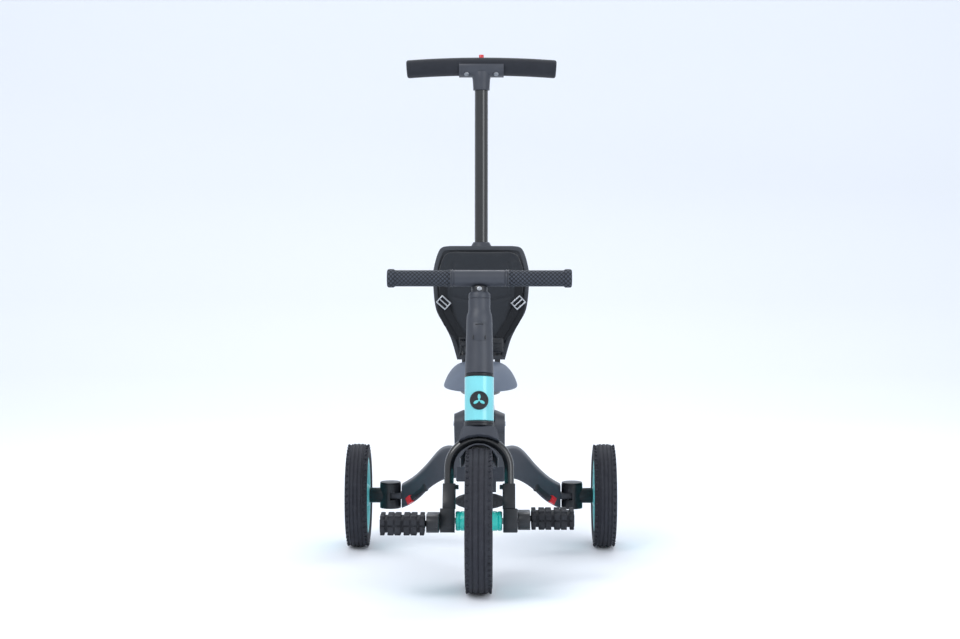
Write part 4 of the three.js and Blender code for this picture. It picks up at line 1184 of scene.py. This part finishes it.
def handlePieces():
    half = measured("push_grip", poleBench)[1].x
    radius, rise, count = (handleShape[key] for key in ("radius", "rise", "stations"))
    level = measured("handle_button", poleBench)[1].z - handleShape["buttonStand"] - radius
    ends = [(-half, level - rise), (0, level + rise), (half, level - rise)]
    line = [alongCurve(ends, index / count) for index in range(count + 1)]
    trimmed = [(x, 0, z) for x, z in line if abs(x) < half - 3]
    bar = soften(tubePiece("pushGripFoam", trimmed, radius - 0.15), 4.2, 4, 0, 50)
    fitOut(setDown(bar, poleBench), finishes["handle_foam"], "push_grip", ["push_grip"])
    screws = []
    profile = [(0, -2), (4.4, -2), (4.4, 0.8), (3.8, 1.5), (2.2, 1.6), (1.8, 0.5), (0, 0.5)]
    for x in handleShape["screws"]:
        face = bench((Vector((x, -13.8, level - 15.2)) * mm), (0, -0.67, -0.74))
        head = turnedShell("clampScrew", profile, 28, False)
        screws.append(setDown(soften(head, 0, 1, 0, 35), face))
    screwPair = joined("clampScrews", screws)
    paint(screwPair, finishes["bare_steel"])
    setDown(screwPair, poleBench)
    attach(screwPair, bodyOf["t_clamp"])


rodPiece("push_pole", poleBench, 0.6, hollow=2.4, sides=64)
socketPieces()
handlePieces()
postMiddle = middleOf("seat_post")
rodPiece("seat_post", bench((postMiddle.x, postMiddle.y, 0), (0, 0, 1)), 0.8)
rodPiece("steerer", steerBench, 0.8)
rodPiece("handlebar", barBench, 0.6, finishes["black_steel"])
print("handle made")

# arms, levers, beam, pedals and footrest


armShape = {
    "depth": 46, "corner": 9, "setback": 130, "tip": 21.5,
    "crest": ((0, 107), (0.16, 106), (0.32, 95), (0.56, 63), (0.78, 38), (1, 20)),
    "foot": ((0, 54), (0.22, 47), (0.46, 28), (0.66, 5), (0.82, -10), (1, -22)),
    "tongueHalf": 10.6, "tongueNose": 10, "tongueTall": 11.4,
}


def armPiece(side, sign):
    low, high = cornersOf(side + "_arm")
    pivotX, axleY, axleZ = (value / mm for value in joints[side + "_wheel_swivel"]["pos_m"])
    pivotX = abs(pivotX)
    tipX = pivotX - armShape["tip"]
    rootX = min(abs(low.x), abs(high.x))
    span = tipX - rootX
    lines = []
    for edge in ("crest", "foot"):
        points = [(rootX + span * share, 0, axleZ + height) for share, height in armShape[edge]]
        lines.append(smoothLine(points, 8))
    rows = []
    half, corner = armShape["depth"] / 2, armShape["corner"]
    for top, bottom in zip(*lines):
        # each section is a rounded rectangle, four corners of six points
        row = []
        down = (bottom - top).normalized()
        for turn in range(4):
            for step in range(6):
                angle = math.pi / 2 * step / 5
                u, v = corner * (1 - math.cos(angle)), corner * (1 - math.sin(angle))
                inset, depth = ((v, half - u), (u, v - half), (-v, u - half), (-u, half - v))[turn]
                point = (top if turn < 2 else bottom) + down * inset
                share = min(max((point.x - rootX) / span, 0), 1)
                row.append((point.x * sign, axleY - armShape["setback"] * (1 - share) + depth, point.z))
        rows.append(row)
    body = soften(rowSkin(side + "ArmShell", rows), 0, 1, 0, 50)
    wide, nose, tall = (armShape[key] for key in ("tongueHalf", "tongueNose", "tongueTall"))
    angles = [math.pi * k / 16 for k in range(17)]
    arc = [(pivotX + nose * math.sin(angle), -nose * math.cos(angle)) for angle in angles]
    outline = [(tipX - 12, -wide), (tipX + 6, -wide), *arc, (tipX + 6, wide), (tipX - 12, wide)]
    tongue = outlinePlate("armTongue", [(x, y, -tall / 2) for x, y in outline], tall, (0, 0, 1))
    only(tongue)
    place = Matrix.Translation(Vector((0, axleY, axleZ)) * mm)
    tongue.matrix_world = place @ Matrix.Diagonal((sign, 1, 1, 1))
    bpy.ops.object.transform_apply(location=True, rotation=True, scale=True)
    bpy.ops.object.mode_set(mode="EDIT")
    bpy.ops.mesh.select_all(action="SELECT")
    bpy.ops.mesh.normals_make_consistent(inside=False)
    bpy.ops.object.mode_set(mode="OBJECT")
    soften(tongue, 0.6, 2, 0, 40)
    arm = joined(side + "ArmShell", [body, tongue])
    fitOut(arm, finishes["dark_grey_plastic"], side + "_arm", [side + "_arm"])


def leverPiece(side):
    # the lever is dark, and its far end carries a red tip
    lever = refined(side + "_release_lever", 0.9, 34, finishes["black_plastic"])
    joint = joints[side + "_lever_press"]
    axis = Vector(joint["pos_m"])
    lever.data.materials.clear()
    lever.data.materials.append(finishes["black_plastic"])
    lever.data.materials.append(finishes["red_plastic"])
    reach = max((vertex.co - axis).length for vertex in lever.data.vertices)
    for face in lever.data.polygons:
        if (face.center - axis).length > reach * 0.64:
            face.material_index = 1


def beamPiece():
    beam = refined("main_beam", 0.0)
    only(beam)
    bolt = middleOf("frame_bolt")
    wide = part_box("main_beam")[1][0]
    bpy.ops.object.mode_set(mode="EDIT")
    bpy.ops.mesh.select_all(action="DESELECT")
    bpy.ops.object.mode_set(mode="OBJECT")
    for vertex in beam.data.vertices:
        around = math.hypot(vertex.co.y - bolt.y, vertex.co.z - bolt.z)
        vertex.select = wide - 0.0005 < abs(vertex.co.x) and 0.006 < around < 0.026
    bpy.ops.object.mode_set(mode="EDIT")
    bpy.ops.transform.resize(value=(1, 0.7, 0.7), center_override=bolt)
    bpy.ops.object.mode_set(mode="OBJECT")
    soften(beam, 1.8, 3, 0, 34)


pedalShape = {"segments": (9, 23, 23, 9), "gap": 3}


def pedalPiece(side, sign):
    node = side + "_pedal"
    low, high = cornersOf(node)
    middle = (low + high) / 2
    deep, tall = (high - low).y, (high - low).z
    start = low.x if sign > 0 else -high.x
    blocks = [roundedBlock("core", (high.x - low.x - 3, deep - 9, tall - 9), middle, 4, segments=3)]
    for length in pedalShape["segments"]:
        centre = sign * (start + length / 2)
        size = (length - 0.4, deep - 4, tall - 4)
        blocks.append(roundedBlock("segment", size, (centre, middle.y, middle.z), 5.5, segments=3))
        columns = 1 if length < 12 else 2
        for column in range(columns):
            x = centre + (column - (columns - 1) / 2) * length / columns
            width = length / columns - 1.6
            for face in (-1, 1):
                for row in (-1, 0, 1):
                    blocks.append(roundedBlock("stud", (width, deep / 4.4, 4), (
                        x, middle.y + row * deep / 3.6, middle.z + face * (tall / 2 - 2.2)), 0.8, segments=1))
                for row in (-1, 1):
                    blocks.append(roundedBlock("stud", (width, 4, tall / 3.4), (
                        x, middle.y + face * (deep / 2 - 2.2), middle.z + row * tall / 5.4), 0.8, segments=1))
        start += length + pedalShape["gap"]
    body = soften(joined(side + "PedalShell", blocks), 0, 1, 0, 32)
    fitOut(body, finishes["pedalRubber"], node, [node])


def footrestPiece():
    low, high = cornersOf("footrest")
    middle = (low + high) / 2
    refined("footrest", 0.8)
    studs = []
    for row in range(3):
        for column in range(-4, 5):
            x = column * 9.4
            z = low.z + 6.5 + row * 8.4
            if (x / 41) ** 2 + ((z - low.z - 15) / 13) ** 2 < 1:
                studs.append(roundedBlock("stud", (6.4, 13.4, 5.4), (x, middle.y, z), 1.2, segments=1))
    tread = soften(joined("footrestTread", studs), 0, 1, 0, 32)
    fitOut(tread, finishes["pedalRubber"], "footrest")


def buttonPiece():
    button = refined("stem_button", 0.8, 34, finishes["dark_grey_plastic"])
    low, high = measured("stem_button", steerBench)
    front = low.y
    marks = [roundedBlock("slit", (13, 1.6, 1.8), (0, front + 0.5, high.z - 3), 0.5)]
    for flank in (-1, 1):
        place = (flank * (high.x - 1), front + 2.2, low.z + 5)
        marks.append(roundedBlock("notch", (2.2, 2.4, 7), place, 0.6))
    piece = setDown(soften(joined("buttonMarks", marks), 0, 1, 0, 40), steerBench)
    fitOut(piece, finishes["black_plastic"], "stem_button")


for side, sign in (("left", -1), ("right", 1)):
    armPiece(side, sign)
    leverPiece(side)
    pedalPiece(side, sign)
beamPiece()
footrestPiece()
buttonPiece()
print("frame and pedals made")

# floor


def floorPiece():
    floor = startPiece("studioSweep", (-7000, -6500, 0))
    bend = ((-6500, 0), (2200, 0), (2700, 60), (3150, 260), (3500, 620), (3700, 1100), (3750, 1700),
            (3750, 7000))
    drawOutline([(-7000, y, z) for y, z in bend], False)
    bpy.ops.mesh.select_all(action="SELECT")
    bpy.ops.mesh.extrude_region_move(TRANSFORM_OT_translate={"value": (14, 0, 0)})
    bpy.ops.mesh.select_all(action="SELECT")
    bpy.ops.mesh.remove_doubles(threshold=1e-6)
    bpy.ops.mesh.normals_make_consistent(inside=False)
    bpy.ops.object.mode_set(mode="OBJECT")
    soften(floor, 0, 1, 0, 60)
    paint(floor, finishes["studioFloor"])


floorPiece()
print("floor made")
